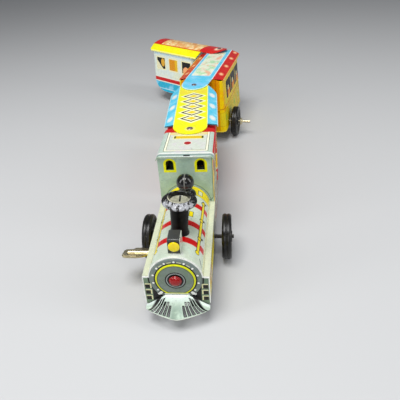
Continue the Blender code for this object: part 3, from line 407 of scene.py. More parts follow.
def footplate_print():
    """Cream running boards and skirts with a yellow stripe, a grey rod, rivets and two lined panels."""
    p = Print("print_footplate", ENGINE, ink(214, 218, 190), metallic=0.1)
    side = p.above(p.aside, HALF_WIDTH - 0.3)
    p.paint((p.below(p.z, DECK_Z + 1), p.below(side, 0.5), p.cloud(0.2, 0.4, 0.7)), ink(196, 206, 188), 0.6)
    p.only_on(side)
    p.paint((p.band(p.y, 1.2, 50.0), p.band(p.z, 15.4, 28.6)), YELLOW)
    p.paint((p.band(p.z, 28.4, 28.9), p.band(p.y, 2.0, 75.0)), BLACK, 0.9)
    p.paint((p.band(p.z, 14.8, 15.4), p.band(p.y, 2.0, 75.0)), BLACK, 0.8)
    rod = (52.0, 21.6), (73.0, 21.6)
    p.paint(p.stroke(p.y, p.z, *rod, 1.7), BLACK)
    p.paint(p.stroke(p.y, p.z, *rod, 1.2), ink(168, 180, 176))
    plate = (13.0, 22.8)
    p.paint(p.patch(p.y, p.z, plate, (6.6, 4.3), 1.0), BLACK)
    p.paint(p.patch(p.y, p.z, plate, (6.1, 3.8), 0.8), RED)
    p.paint(p.patch(p.y, p.z, plate, (4.6, 2.4), 0.6), ink(206, 214, 188))
    p.paint(p.spot(p.wrap(p.y, 5.0), p.z, (0, 30.4), (0.55, 0.55)), OLIVE)
    p.paint((p.band(p.y, 77.6, 121.0), p.band(p.z, 15.2, 30.4)), RED)
    p.paint((p.band(p.y, 80.2, 118.4), p.band(p.z, 17.2, 28.4)), ink(30, 74, 60))
    p.paint((p.band(p.y, 81.2, 117.4), p.band(p.z, 18.2, 27.4)), CAB_GREEN)
    return p.done(coat=0, specular=0.08)


def cab_print():
    """Green cab: yellow window frames, two lines down one front corner, lined side panels and a rear door."""
    p = Print("print_cab", ENGINE, CAB_GREEN, metallic=0.12)
    p.paint(p.cloud(0.1, 0.4, 0.7), ink(190, 210, 190), 0.7)

    p.only_on(p.below(p.y, CAB_FRONT_Y + 0.2))
    sill = p.patch(p.aside, p.z, (10.5, 59.4), (4.3, 3.4), 0.3)
    arch = p.spot(p.aside, p.z, (10.5, 62.4), (4.3, 4.0))
    p.paint(p.calc("MAXIMUM", sill, arch), ink(232, 230, 16))
    # painted shadow: a thin dark ring round the boiler on the cab front, where the boiler's shadow falls
    p.paint(p.ring(p.x, p.z, (0, BOILER_Z), 16.6, 0.22), ink(74, 92, 66), 0.8)
    p.paint(p.band(p.z, 66.6, 70.0), ink(206, 220, 208))
    p.paint((p.band(p.x, 17.75, 18.1), p.above(p.z, 35.5)), OLIVE, 0.8)
    p.paint(p.above(p.x, 18.35), ink(240, 206, 20))
    p.paint((p.ring(p.aside, p.z, (15.4, 35.6), 1.9, 0.24), p.below(p.z, 35.6)), BLACK, 0.9)

    p.only_on(p.above(p.y, CAB_FRONT_Y + 0.5), p.above(p.aside, 18.0))
    p.fill(ink(240, 190, 12))
    p.paint(p.above(p.z, 55.5), RED)
    p.paint((p.below(p.z, 44.0), p.above(p.y, 82.0)), ink(40, 62, 46))
    p.paint(p.patch(p.y, p.z, (99.0, 38.4), (15.0, 4.0), 0.8), ink(206, 210, 150))
    p.paint(p.patch(p.y, p.z, (99.0, 38.4), (14.4, 3.4), 0.6), CAB_GREEN)
    for y in (91.0, 107.0):
        p.paint(p.patch(p.y, p.z, (y, 52.0), (5.6, 6.0), 1.0), ink(240, 226, 60))
        p.paint(p.patch(p.y, p.z, (y, 52.0), (4.8, 5.2), 0.8), BLACK)
        p.paint(p.stroke(p.y, p.z, (y - 3.0, 49.5), (y + 1.5, 54.5), 0.35), ink(120, 150, 160), 0.7)

    p.only_on(p.above(p.y, 118.4), p.above(p.z, DECK_Z + 3))
    p.paint(p.patch(p.x, p.z, (0, 49.0), (9.0, 11.5), 1.2), ink(222, 172, 22))
    p.paint(p.patch(p.x, p.z, (0, 49.0), (8.3, 10.8), 1.0), ink(44, 66, 50))
    return p.done(coat=0.05, specular=0.15)


def cab_roof_print():
    """Pale roof with a cream frame line, an amber bar with dark ends, a red spot, and red round its rear."""
    p = Print("print_cab_roof", ENGINE, ink(196, 214, 200), metallic=0.1)
    p.paint(p.cloud(0.12, 0.4, 0.7), ink(214, 216, 222), 0.6)
    p.paint(p.patch(p.x, p.y, (0, 100.4), (15.5, 16.8), 0.4), OLIVE, 0.75)
    p.paint(p.patch(p.x, p.y, (0, 100.4), (15.0, 16.3), 0.4), ink(252, 252, 226))
    p.paint(p.patch(p.x, p.y, (0, 100.6), (13.75, 15.15), 0.3), OLIVE, 0.75)
    p.paint(p.patch(p.x, p.y, (0, 100.7), (13.35, 14.7), 0.3), ink(214, 222, 208))
    p.paint((p.below(p.aside, 13.2), p.cloud(0.2, 0.45, 0.7)), ink(222, 210, 222), 0.5)
    p.paint((p.band(p.y, 103.0, 109.6), p.below(p.aside, 11.0)), ink(240, 238, 170))
    p.paint(p.patch(p.x, p.y, (0.3, 106.4), (10.6, 2.0), 0.2), OLIVE)
    p.paint(p.patch(p.x, p.y, (0.3, 106.4), (9.3, 2.0), 0.2), ink(232, 196, 30))
    p.paint(p.spot(p.x, p.y, (0.3, 96.6), (3.1, 3.1)), ink(240, 226, 216))
    p.paint(p.spot(p.x, p.y, (0.3, 96.6), (2.45, 2.45)), ink(176, 36, 38))
    # painted shade: an orange-tinted band under car 1's tongue, where car 1's roof shades the cab roof
    p.paint((p.above(p.y, 110.4), p.below(p.y, 115.6), p.below(p.aside, 14.0)), ink(240, 216, 120), 0.7)
    p.paint(p.above(p.y, 115.0), RED)
    p.paint((p.above(p.x, 18.3), p.above(p.y, 82.5)), RED)
    p.paint((p.above(p.aside, 16.0), p.below(p.aside, 18.3), p.below(p.y, 114.8)), ink(186, 206, 192), 0.8)
    p.paint(p.band(p.y, 80.2, 81.6), WHITE)
    p.paint(p.band(p.y, 77.2, 79.6), ink(142, 164, 158))
    p.paint(p.patch(p.x, p.y, (1.4, 77.4), (2.2, 1.0), 0.4), ink(20, 34, 30))
    p.paint((p.below(p.y, 77.4), p.below(p.z, 68.35)), ink(160, 184, 160))
    return p.done()


def lamp_print():
    """Gloss black lamp box with its top painted grey as a reflection of the sky, and a pale side split by a black
    line.
    """
    p = Print("print_lamp", ENGINE, BLACK, gloss=0.14)
    # painted reflection: the lamp's top greyed as the sky it reflects
    p.paint(p.above(p.z, BOILER_TOP + 8.0), ink(64, 66, 64), 0.9)
    p.only_on(p.above(p.x, 3.6))
    p.fill(ink(204, 212, 194))
    p.paint(p.band(p.y, 5.4, 6.2), BLACK)
    return p.done(0.6, coat=0.3, specular=0.5)


# ---- prints of the cars

def car_1_roof_print():
    """Yellow roof with cyan sides, soft white dots, and a row of five lozenge lights."""
    p = Print("print_car1_roof", CAR_1, ROOF_YELLOW)
    p.paint(p.cloud(0.1, 0.4, 0.75), ink(228, 238, 4), 0.6)
    # painted shade: an orange-tinted band at the rear of the roof, where car 2's tongue shades it
    p.paint((p.band(p.y, 78.0, 90.0), p.below(p.aside, 12.0)), ink(240, 206, 70), 0.5)
    p.paint(p.band(p.aside, 12.7, 13.3, 0.2), ink(250, 250, 224), 0.6)
    p.only_on(p.above(p.aside, 13.2))
    p.fill(CYAN)
    p.paint(p.cloud(0.12, 0.45, 0.7), ink(150, 228, 250), 0.7)
    p.only_on()
    for y in (24.0, 50.3, 77.0):
        p.paint(p.spot(p.aside, p.y, (16.9, y), (2.3, 4.6), 1.1), WHITE, 0.95)
    corner = p.below(p.calc("MULTIPLY_ADD", p.aside, -0.825, p.y), -2.2)
    p.paint((p.above(p.aside, 12.9), corner), BLACK, 0.85)
    p.paint(p.above(p.aside, 20.4), ink(200, 236, 240), 0.8)
    for y in (20.6, 33.4, 46.3, 58.9, 72.0):
        for colour, radii, blur in (
            (ink(250, 250, 200), (11.4, 9.8), 0.35),
            (ink(44, 40, 34), (9.2, 7.2), 0.25),
            (ink(250, 248, 206), (6.9, 5.2), 0.3),
            (ink(238, 214, 20), (4.2, 3.3), 0.3),
        ):
            p.paint(p.lozenge(p.x, p.y, (0.4, y), radii, blur), colour)
    p.paint(p.spot(p.x, p.y, (0, 0), (3.9, 3.9), 0.6), ink(236, 224, 130), 0.7)
    return p.done()


def car_1_side_print():
    """Red walls above and below a yellow band, with a row of windows."""
    p = Print("print_car1_side", CAR_1, RED)
    p.paint(p.band(p.z, 25.0, 39.4), CREAM)
    p.paint(p.band(p.z, 26.4, 38.6), ink(240, 196, 12))
    row = p.wrap(p.y, 15.0, 15.6)
    p.only_on(p.above(p.aside, 15.5), p.band(p.y, 18.0, 88.0))
    p.paint(p.patch(row, p.z, (0, 51.0), (5.6, 7.4), 1.6), CREAM)
    p.paint(p.patch(row, p.z, (0, 51.0), (4.9, 6.7), 1.2), ink(24, 34, 44))
    p.paint(p.patch(row, p.z, (0, 47.4), (4.9, 3.0), 1.2), ORANGE)
    p.paint(p.spot(row, p.z, (0.6, 50.6), (1.7, 1.9)), ink(246, 214, 170))
    return p.done(coat=0, specular=0.08)


def car_2_roof_print():
    """Cyan tongue and edges, a pale mottled panel with louvre lines, and red sides with peach dots."""
    p = Print("print_car2_roof", CAR_2, CYAN)
    p.paint(p.cloud(0.1, 0.42, 0.7), ink(150, 220, 250), 0.8)
    # painted highlight: a soft pale blue spot on the tongue
    p.paint(p.spot(p.x, p.y, (1.0, 2.0), (8.0, 5.0), 4.0), ink(150, 206, 255), 0.6)
    p.paint(p.patch(p.x, p.y, (-0.6, 74.0), (9.7, 44.8), 1.0), ink(214, 240, 246))
    p.only_on(p.patch(p.x, p.y, (-0.6, 74.0), (8.9, 44.0), 0.8))
    p.fill(ink(240, 246, 220))
    p.paint(p.cloud(0.16, 0.48, 0.6, 3, (1, 0.6, 1)), ink(170, 232, 176), 0.8)
    p.paint(p.cloud(0.14, 0.54, 0.64, 3, (0.8, 0.7, 1.6)), ink(252, 176, 140), 0.8)
    louvre = p.patch(p.wrap(p.y, 4.2), p.x, (0, -0.6), (0.35, 6.6), 0.3)
    p.paint((louvre, p.band(p.y, 34.0, 114.0)), ink(150, 158, 120), 0.5)
    p.only_on()
    p.paint(p.above(p.aside, 12.6), ink(236, 246, 246))
    p.paint(p.above(p.aside, 13.4), RED)
    p.paint((p.above(p.aside, 13.4), p.cloud(0.1, 0.45, 0.7)), ink(216, 30, 16), 0.7)
    for y in (41.5, 70.0, 100.5, 126.0):
        p.paint(p.spot(p.aside, p.y, (17.9, y), (1.9, 3.6), 1.2), PEACH)
        p.paint(p.spot(p.aside, p.y, (17.9, y), (0.9, 1.7), 0.8), ink(255, 214, 176), 0.8)
    p.paint(p.above(p.aside, 22.3), ink(240, 206, 90), 0.7)
    across = p.calc("POWER", p.calc("DIVIDE", p.x, 12.4), 2)
    along = p.calc("POWER", p.calc("DIVIDE", p.calc("SUBTRACT", p.y, 3.8), 16.5), 2)
    tongue_rim = p.above(p.calc("ADD", across, along), 0.84, 0.05)
    p.paint((tongue_rim, p.below(p.y, 3.8)), ink(206, 240, 236), 0.85)
    return p.done()


def car_2_side_print():
    """Yellow walls with a long window, plain seats and lamps in it, lower panels, and ribbed orange ends."""
    p = Print("print_car2_side", CAR_2, ink(240, 204, 8))
    wall = p.above(p.aside, 19.5)
    p.paint((p.cloud(0.08, 0.5, 0.65), p.below(p.z, 50.0)), ink(222, 210, 10), 0.8)
    p.paint((p.cloud(0.07, 0.54, 0.68, 2, (1, 1, 0.5)), p.below(p.z, 46.0)), ink(170, 190, 40), 0.55)
    p.paint((p.cloud(0.09, 0.52, 0.64, 2), p.above(p.z, 24.0)), ink(240, 160, 8), 0.55)

    p.only_on(wall)
    p.paint(p.patch(p.y, p.z, (79.5, 52.0), (39.6, 10.1), 2.6), ink(246, 226, 60))
    p.only_on(wall, p.patch(p.y, p.z, (79.5, 52.0), (38.5, 9.0), 2.0))
    p.fill(BLACK)
    seat = p.wrap(p.y, 25.6, 54.0)
    p.paint(p.patch(seat, p.z, (0, 45.4), (6.6, 4.6), 2.0), ORANGE)
    p.paint(p.patch(seat, p.z, (0.6, 44.6), (4.8, 3.2), 1.6), ink(236, 160, 6))
    p.paint(p.spot(seat, p.z, (-1.6, 51.8), (3.2, 2.6)), ink(236, 222, 160))
    for y in (66.7, 92.3):
        p.paint(p.band(p.y, y - 0.8, y + 0.8), ink(236, 206, 20))

    p.only_on(wall)
    p.paint(p.band(p.z, 37.6, 38.5), ink(176, 96, 20), 0.8)
    panel = p.wrap(p.y, 24.0, 31.5)
    p.paint(p.patch(panel, p.z, (0, 27.0), (10.4, 7.6), 1.6), ink(196, 150, 20), 0.55)
    p.paint(p.patch(panel, p.z, (0, 27.0), (9.8, 7.0), 1.2), ink(226, 204, 30))
    p.paint(p.spot(panel, p.z, (0, 27.0), (3.4, 3.4)), ink(150, 190, 60), 0.7)

    p.only_on(p.below(wall, 0.5))
    p.fill(ink(226, 150, 4))
    p.paint(p.band(p.wrap(p.x, 5.2), -0.7, 0.7, 0.3), ink(190, 104, 8), 0.7)
    p.paint(p.band(p.z, 35.5, 36.6), ink(150, 82, 8), 0.7)
    p.paint(p.patch(p.x, p.z, (0, 46.0), (7.0, 12.0), 1.2), ink(120, 50, 10), 0.8)
    p.only_on()
    p.paint(p.below(p.z, 15.2), ink(236, 210, 60))
    return p.done(coat=0, specular=0.04)


def car_3_roof_print():
    """Red tongue and borders round a mottled cream panel with slat lines, and bright yellow eaves."""
    p = Print("print_car3_roof", CAR_3, RED)
    p.paint(p.cloud(0.1, 0.4, 0.7), ink(220, 30, 12), 0.6)
    p.only_on(p.below(p.aside, 12.4), p.band(p.y, 21.0, 87.5))
    p.fill(ink(240, 198, 128))
    p.paint(p.cloud(0.14, 0.45, 0.62), ink(232, 150, 70), 0.8)
    p.paint(p.cloud(0.2, 0.52, 0.64), ink(250, 232, 180), 0.8)
    p.paint(p.patch(p.wrap(p.y, 11.0, 21.0), p.x, (0, 0), (0.4, 10.0), 0.3), ink(196, 104, 60), 0.45)
    p.only_on()
    p.paint((p.band(p.aside, 12.4, 13.6), p.above(p.y, 16.0)), ink(206, 70, 8))
    p.only_on(p.above(p.aside, 13.6), p.above(p.y, 17.5))
    p.fill(ROOF_YELLOW)
    p.paint(p.cloud(0.12, 0.5, 0.7), ink(250, 222, 4), 0.6)
    p.only_on()
    p.paint(p.spot(p.x, p.y, (0, 1.0), (5.2, 4.0), 1.6), ink(252, 222, 190))
    p.paint((p.above(p.aside, 20.9), p.above(p.y, 17.5)), ink(246, 240, 150), 0.8)
    return p.done()


def car_3_side_print():
    """Pale walls with three windows a side, a red waist band, and cyan below."""
    p = Print("print_car3_side", CAR_3, ink(222, 234, 226))
    wall = p.above(p.aside, 17.2)
    p.paint(p.cloud(0.12, 0.45, 0.7), ink(236, 240, 206), 0.7)
    p.paint(p.above(p.z, 60.5), ink(196, 224, 236), 0.8)

    seat_y, blind_y, lamp_y = windows = (36.4, 59.4, 82.0)
    panes = [p.patch(p.y, p.z, (y, 50.2), (7.2, 6.8), 0.5) for y in windows]
    p.only_on(wall)
    for y, pane in zip(windows, panes):
        p.paint(p.patch(p.y, p.z, (y, 50.2), (8.6, 8.2), 0.8), ink(244, 238, 190))
        p.paint(pane, BLACK)
    p.only_on(wall, panes[0])
    p.paint(p.spot(p.y, p.z, (seat_y + 0.4, 45.6), (5.6, 5.6), 0.5), PEACH)
    p.only_on(wall, panes[1])
    p.fill(ink(222, 146, 10))
    p.paint(p.band(p.y, blind_y - 7.0, blind_y - 3.0), ink(236, 196, 30), 0.8)
    p.only_on(wall, panes[2])
    p.paint(p.spot(p.y, p.z, (lamp_y - 3.4, 51.4), (3.4, 5.0), 0.4), ink(226, 170, 50))
    p.paint(p.below(p.calc("MULTIPLY_ADD", p.y, -1.0, p.z), -35.5), ink(238, 232, 190))

    p.only_on(p.below(wall, 0.5))
    p.paint(p.patch(p.x, p.z, (0, 47.0), (8.0, 10.0), 1.0), ink(244, 238, 190))
    p.paint(p.patch(p.x, p.z, (0, 47.0), (6.8, 8.8), 0.8), ink(30, 60, 80))
    p.only_on()
    p.paint(p.below(p.z, 33.0), ink(238, 240, 226))
    p.paint(p.band(p.z, 27.4, 31.8), RED)
    p.paint(p.below(p.z, 26.2), ink(30, 178, 214))
    # painted highlights: pale blue patches over the cyan below the waist band
    p.paint((p.band(p.z, 17.0, 25.6), p.cloud(0.08, 0.5, 0.62)), ink(150, 216, 248), 0.8)
    p.paint((wall, p.band(p.z, 17.0, 18.0)), ink(220, 240, 246), 0.7)
    return p.done()


# ---- plain finishes

def metal_finish(name, colour, roughness, brush=(1, 1, 1), tarnish=ink(90, 84, 74)):
    """Bare metal: faint brushing, patches of tarnish and fine scratches."""
    p = Print(name, ENGINE, colour)
    p.paint(p.cloud(0.25, 0.5, 0.75, 4), tarnish, 0.45)
    p.paint(p.cloud(2.5, 0.62, 0.7, 4, brush), ink(226, 224, 214), 0.25)
    grain = p.cloud(3.0, 0.3, 0.7, 4, brush)
    inputs = {"Metallic": 1, "Roughness": p.calc("MULTIPLY_ADD", grain, 0.16, roughness)}
    return p.shaded(inputs, grain, 0.3)


def enamel_finish(name, colour, gloss, coat, specular):
    """Enamel with dusty patches and light wear."""
    p = Print(name, ENGINE, colour, gloss=gloss)
    p.paint(p.cloud(0.22, 0.55, 0.8, 3), ink(34, 32, 30), 0.4)
    return p.done(0.4, coat, specular)


def dome_print():
    """Gloss black, with a pale line painted along the seam between the dome's halves."""
    p = Print("enamel_dome", ENGINE, ink(9, 9, 11), gloss=0.1)
    p.paint((p.band(p.x, 0.25, 0.95, 0.12), p.above(p.z, BOILER_TOP + 3)), ink(136, 136, 130), 0.85)
    return p.done(0.4, 0.35, 0.5)


def crown_print():
    """The chimney crown: black, a pale line round the front of its rim, dusty tin inside with a dark tab across
    it, and painted highlights on the front of its outer cone.
    """
    p = Print("enamel_crown", ENGINE, ink(9, 9, 11), gloss=0.12)
    middle = (2.4, CHIMNEY_Y)
    p.only_on(p.spot(p.x, p.y, middle, (5.6, 5.6)), p.below(p.z, 67.55))
    p.fill(ink(148, 148, 128))
    p.paint(p.cloud(0.5, 0.45, 0.65), ink(190, 186, 160), 0.8)
    p.paint(p.stroke(p.x, p.y, (2.6, 24.0), (2.2, 31.0), 0.5), ink(14, 14, 12))
    p.only_on(p.above(p.z, 69.2))
    p.paint((p.ring(p.x, p.y, middle, 6.3, 0.3), p.below(p.y, 23.5, 2.5)), ink(206, 204, 180), 0.85)
    # painted highlights: pale silver streaks on the front of the outer cone
    away = p.vector("DISTANCE", p.pair(p.x, p.y), (*middle, 0))
    p.only_on(p.above(away, 6.9), p.above(p.z, 66.4))
    p.paint((p.cloud(0.55, 0.44, 0.52, 2, (1, 0.4, 1)), p.below(p.y, 20.5, 1.5)), ink(178, 180, 186), 0.8)
    return p.done(0.4, coat=0.25, specular=0.5)


def jewel_finish(name, colour, glow):
    """Glossy coloured plastic that lets a little light in."""
    p = Print(name, ENGINE, colour)
    p.paint(p.cloud(0.3, 0.4, 0.7, 2), glow, 0.5)
    return p.shaded({
        "Roughness": p.calc("MULTIPLY_ADD", p.cloud(0.5, 0.3, 0.7), 0.06, 0.05),
        "Subsurface Weight": 0.1,
        "Subsurface Scale": 0.6 * MM,
        "Specular IOR Level": 0.35,
        "Coat Weight": 0.3,
        "Coat Roughness": 0.04,
    })


# ---- shapes

def placed(name, data):
    """A new object in the scene."""
    made = bpy.data.objects.new(name, data)
    bpy.context.scene.collection.objects.link(made)
    return made


def mesh_from(shape, name, matrix=None):
    """The mesh of a bmesh, placed by the matrix."""
    if matrix is not None:
        bmesh.ops.recalc_face_normals(shape, faces=shape.faces)
        shape.transform(matrix)
    mesh = bpy.data.meshes.new(name)
    shape.to_mesh(mesh)
    shape.free()
    return mesh


def piece(node, look, mesh, material, sharp=35):
    """A new piece in the row frame that rides on its node's body and stands for the node."""
    made = placed("%s_%s" % (node, look), mesh)
    mesh.materials.clear()
    mesh.materials.append(material)
    mesh.shade_smooth()
    mesh.set_sharp_from_angle(angle=math.radians(sharp))
    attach(made, BODY_OF[node])
    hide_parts(node)
    return made


def roll_edges(made, width, segments):
    """Rounds a sheet's cut edges."""
    roll = made.modifiers.new("rolled_edges", "BEVEL")
    roll.width = width * MM
    roll.segments = segments
    roll.limit_method = "ANGLE"
    roll.angle_limit = EDGE_ANGLE


def softened(node, material, width=0.13, segments=2):
    """The node's sheet with its cut edges rolled over, standing for the node."""
    shape = bmesh.new()
    shape.from_mesh(NODES[node].data)
    bmesh.ops.remove_doubles(shape, verts=shape.verts, dist=WELD * MM)
    bmesh.ops.dissolve_limit(shape, angle_limit=FLAT_ANGLE, verts=shape.verts, edges=shape.edges)
    roll_edges(piece(node, "sheet", mesh_from(shape, node + "_sheet"), material), width, segments)


def rounded(profile, radius, steps=3):
    """A profile with each inner corner turned into a short curve."""
    points = [profile[0]]
    for before, corner, after in zip(profile, profile[1:], profile[2:]):
        before, corner, after = Vector(before), Vector(corner), Vector(after)
        reach = min(radius, (before - corner).length / 2.2, (after - corner).length / 2.2)
        first = corner + (before - corner).normalized() * reach
        last = corner + (after - corner).normalized() * reach
        for step in range(steps + 1):
            t = step / steps
            points.append(tuple(first * (1 - t) ** 2 + corner * 2 * t * (1 - t) + last * t**2))
    return points + [profile[-1]]


def bulge(radius, foot, rise, step):
    """A dome's outline from its rim to near its crown."""
    angles = [math.radians(degrees) for degrees in range(0, 90, step)]
    return [(radius * math.cos(angle), foot + rise * math.sin(angle)) for angle in angles]


def turned(name, profile, matrix, segments, start=0.0, sweep=math.tau, push=None):
    """A mesh turned round the local z axis from (radius, height) points, placed by the matrix.

    A part sweep gets flat faces at its two ends. push moves a point given its angle and place on the profile.
    """
    shape = bmesh.new()
    whole = sweep == math.tau
    columns = segments if whole else segments + 1
    rings = []
    for index, (radius, height) in enumerate(profile):
        if radius == 0:
            rings.append([shape.verts.new((0, 0, height))] * columns)
            continue
        ring = []
        for column in range(columns):
            angle = start + sweep * column / segments
            r, z = (radius, height) if push is None else push(angle, index, radius, height)
            ring.append(shape.verts.new((r * math.cos(angle), r * math.sin(angle), z)))
        rings.append(ring)
    if whole and profile[0][0] > 0:
        rings.append(rings[0])
    for lower, upper in zip(rings, rings[1:]):
        for column in range(segments):
            after = (column + 1) % columns
            corners = list(dict.fromkeys([lower[column], lower[after], upper[after], upper[column]]))
            if len(corners) > 2:
                shape.faces.new(corners)
    if not whole:
        for column in (0, columns - 1):
            outline = list(dict.fromkeys(ring[column] for ring in rings))
            shape.faces.new(outline if column else outline[::-1])
    return mesh_from(shape, name, matrix)


def wheel_piece(node, vehicle, centre, outward, material):
    """A pressed wheel: rounded tread with a groove, a raised rim bead, a dished web with ribs and a hub."""
    radius, half = WHEEL_RADIUS, WHEEL_WIDTH / 2
    bead, web, hub, bore = radius * 0.86, radius * 0.70, radius * 0.25, 1.42
    deep = WHEEL_WIDTH * 0.24
    groove = radius - 0.35
    face = [(bore, half + 0.5), (hub, half + 0.5), (hub * 1.18, half - deep), (web, half - deep)]
    face += [(bead, half - 0.1), (radius - 0.9, half), (radius, half - 1.1), (radius, 0.55), (groove, 0.25)]
    profile = rounded(face + [(r, -z) for r, z in reversed(face)], 0.45)
    ribs, rib_rise = 8, 0.55
    steps = 6

    def push(angle, index, r, z):
        """Presses shallow spokes into the web."""
        if hub * 1.25 < r < web * 1.06 and abs(z) < half:
            across = math.sin((r - hub) / (web - hub) * math.pi)
            z += math.copysign(rib_rise * across * max(0.0, math.cos(ribs * angle)), z)
        return r, z

    points = []
    for first, second in zip(profile, profile[1:]):
        points.append(first)
        if abs(second[0] - first[0]) > radius * 0.2:
            first, second = Vector(first), Vector(second)
            points += [tuple(first.lerp(second, step / steps)) for step in range(1, steps)]
    points.append(profile[-1])
    turn = Matrix.Rotation(math.radians(90) * outward, 4, "Y")
    mesh = turned(node, points, vehicle.matrix @ Matrix.Translation(centre) @ turn, 96, push=push)
    piece(node, "pressed", mesh, material, sharp=50)


def chimney_matrix():
    """The leaning frame of the chimney, on top of the boiler."""
    foot = Matrix.Translation((CHIMNEY_X, CHIMNEY_Y, BOILER_TOP))
    return ENGINE.matrix @ foot @ Matrix.Rotation(CHIMNEY_LEAN, 4, "Y")


def crown_piece(material):
    """The flat diamond crown, with a raised lattice pressed into its upper cone."""
    foot = 17.9
    low, high = Vector((10.0, foot + 3.0)), Vector((6.95, foot + 5.25))
    outer = [(0, foot), (5.6, foot), (10.0, foot + 2.2), tuple(low)]
    inner = [tuple(high), (6.2, foot + 5.5), (5.9, foot + 5.0), (5.6, foot + 2.6), (0, foot + 2.6)]
    profile = rounded(outer, 0.35)[:-1]
    rows, strands, twist = 16, 22, 2.2
    wire, thin = 0.28, 0.45  # the lattice's height, and how much of a wave lies under it
    first_row = len(profile)
    profile += [tuple(low.lerp(high, row / rows)) for row in range(rows + 1)]
    profile += rounded(inner, 0.3)[1:]

    def push(angle, index, r, z):
        """Raises two sets of strands that cross."""
        row = index - first_row
        if 1 <= row <= rows - 1:
            drift = row / rows * twist * math.pi
            crossing = max(math.cos(strands * angle + drift), math.cos(strands * angle - drift))
            rise = wire * (max(0.0, crossing - thin) / (1 - thin) - 0.5)
            r += rise * 0.6
            z += rise * 0.8
        return r, z

    mesh = turned("chimney_crown", profile, chimney_matrix(), strands * 16, push=push)
    piece("chimney_crown", "pressed", mesh, material, sharp=60)


def stem_piece(material):
    """The chimney's smooth stem, flared at its foot round the boiler."""
    base, top, neck, flare = 2.6, 17.5, 4.95, 0.55
    profile = [(0, -0.2), (5.9, -0.2), (5.75, 0.2), (5.35, 0.8), (5.05, 1.6), (neck, base)]
    profile += [(neck + flare * step / 8, base + (top - base) * step / 8) for step in range(1, 9)]
    profile += [(5.3, top + 0.08), (0, top + 0.08)]

    def push(angle, index, r, z):
        """Drops the foot to follow the boiler's round top."""
        if z < base + 0.1:
            x = r * math.cos(angle) + CHIMNEY_X
            drop = SADDLE_RADIUS - math.sqrt(max(0.0, SADDLE_RADIUS**2 - x * x))
            z -= drop * (1 - max(0.0, z) / (base + 0.1)) * 0.97
        return r, z

    mesh = turned("chimney_stem", profile, chimney_matrix(), 72, push=push)
    piece("chimney_stem", "rolled", mesh, material, sharp=50)


def dome_halves(material):
    """The dome's two smooth halves, each with a fine flange along the seam."""
    axis = 0.02  # the profile's least radius
    ball, middle = 5.8, 7.8
    profile = [(axis, -1.15), (6.6, -1.15), (6.35, -0.1), (5.6, 0.75), (4.6, 1.6), (4.15, 2.4), (4.1, 2.9)]
    for step in range(17):
        angle = math.radians(-44 + 134 * step / 16)
        profile.append((max(axis, ball * math.cos(angle)), middle + ball * math.sin(angle)))

    def push(angle, index, r, z):
        """Keeps the foot round the boiler, and lifts a thin flange beside the seam."""
        x = r * math.cos(angle)
        if z < 0.3:
            drop = SADDLE_RADIUS - math.sqrt(max(0.0, SADDLE_RADIUS**2 - x**2))
            z = max(z, -drop) if z < -0.5 else z - min(drop, 0.6) * 0.4
            if index <= 1:
                z = 0.02 - drop
        seam = abs(math.cos(angle))
        if seam < 0.06 and r > 1 and z > 1.2:
            r += 0.16 * (1 - seam / 0.06)
        return r, z

    for node, first, shift in (("dome_left", 90, -0.1), ("dome_right", -90, 0.1)):
        place = ENGINE.matrix @ Matrix.Translation((DOME_X + shift, DOME_Y, BOILER_TOP))
        mesh = turned(node, profile, place, 60, math.radians(first), math.pi, push)
        piece(node, "moulded", mesh, material, sharp=48)


def jewel_pieces(red, yellow):
    """The red jewel on the smokebox door and the headlamp's yellow lens, each a dome with a bevelled rim."""
    jewel = [(0, 0.02), (3.6, 0.02), (3.6, 0.3), (3.3, 0.5)] + bulge(3.1, 0.6, 1.4, 9) + [(0, 2.0)]
    lens = [(0, 0.02), (3.2, 0.02), (3.2, 0.22), (3.0, 0.34)] + bulge(2.8, 0.38, 0.3, 10) + [(0, 0.7)]
    forwards = Matrix.Rotation(math.radians(90), 4, "X")
    for node, profile, place, material in (
        ("smokebox_jewel", jewel, (0, -1.5, BOILER_Z), red),
        ("headlamp_lens", lens, (LAMP_X, 3.2, BOILER_TOP + 4.5), yellow),
    ):
        mesh = turned(node, profile, ENGINE.matrix @ Matrix.Translation(place) @ forwards, 64)
        piece(node, "domed", mesh, material, sharp=60)


def fan_point(column, down):
    """A point of the fan at a place across it, -1 to 1 at its foot, and down it, 0 to 1."""
    chord_z, foot_z = 19.4, 9.4
    nose_y, corner_y = -11.4, -3.2
    gather = 0.42  # how much nearer the middle a slot stands at the top than at the foot
    level = 0.42  # share of the top edge that is level, before it falls to the corners
    across = column if abs(column) == 1 else column * (1 - gather * (1 - down))
    far = abs(across)
    fall = max(0.0, far - level) / (1 - level)
    lift = max(0.0, far - 0.9) / 0.1
    top = Vector((across * (15.8 + 2.8 * far**3), -0.9, chord_z + (foot_z + 2.0 - chord_z) * fall))
    low = Vector((across * 18.6, nose_y + (corner_y - nose_y) * far**1.4 + 0.2, foot_z + 0.3 + 0.7 * lift))
    point = top.lerp(low, down)
    point.y -= math.sin(down * math.pi) * 0.6
    return point


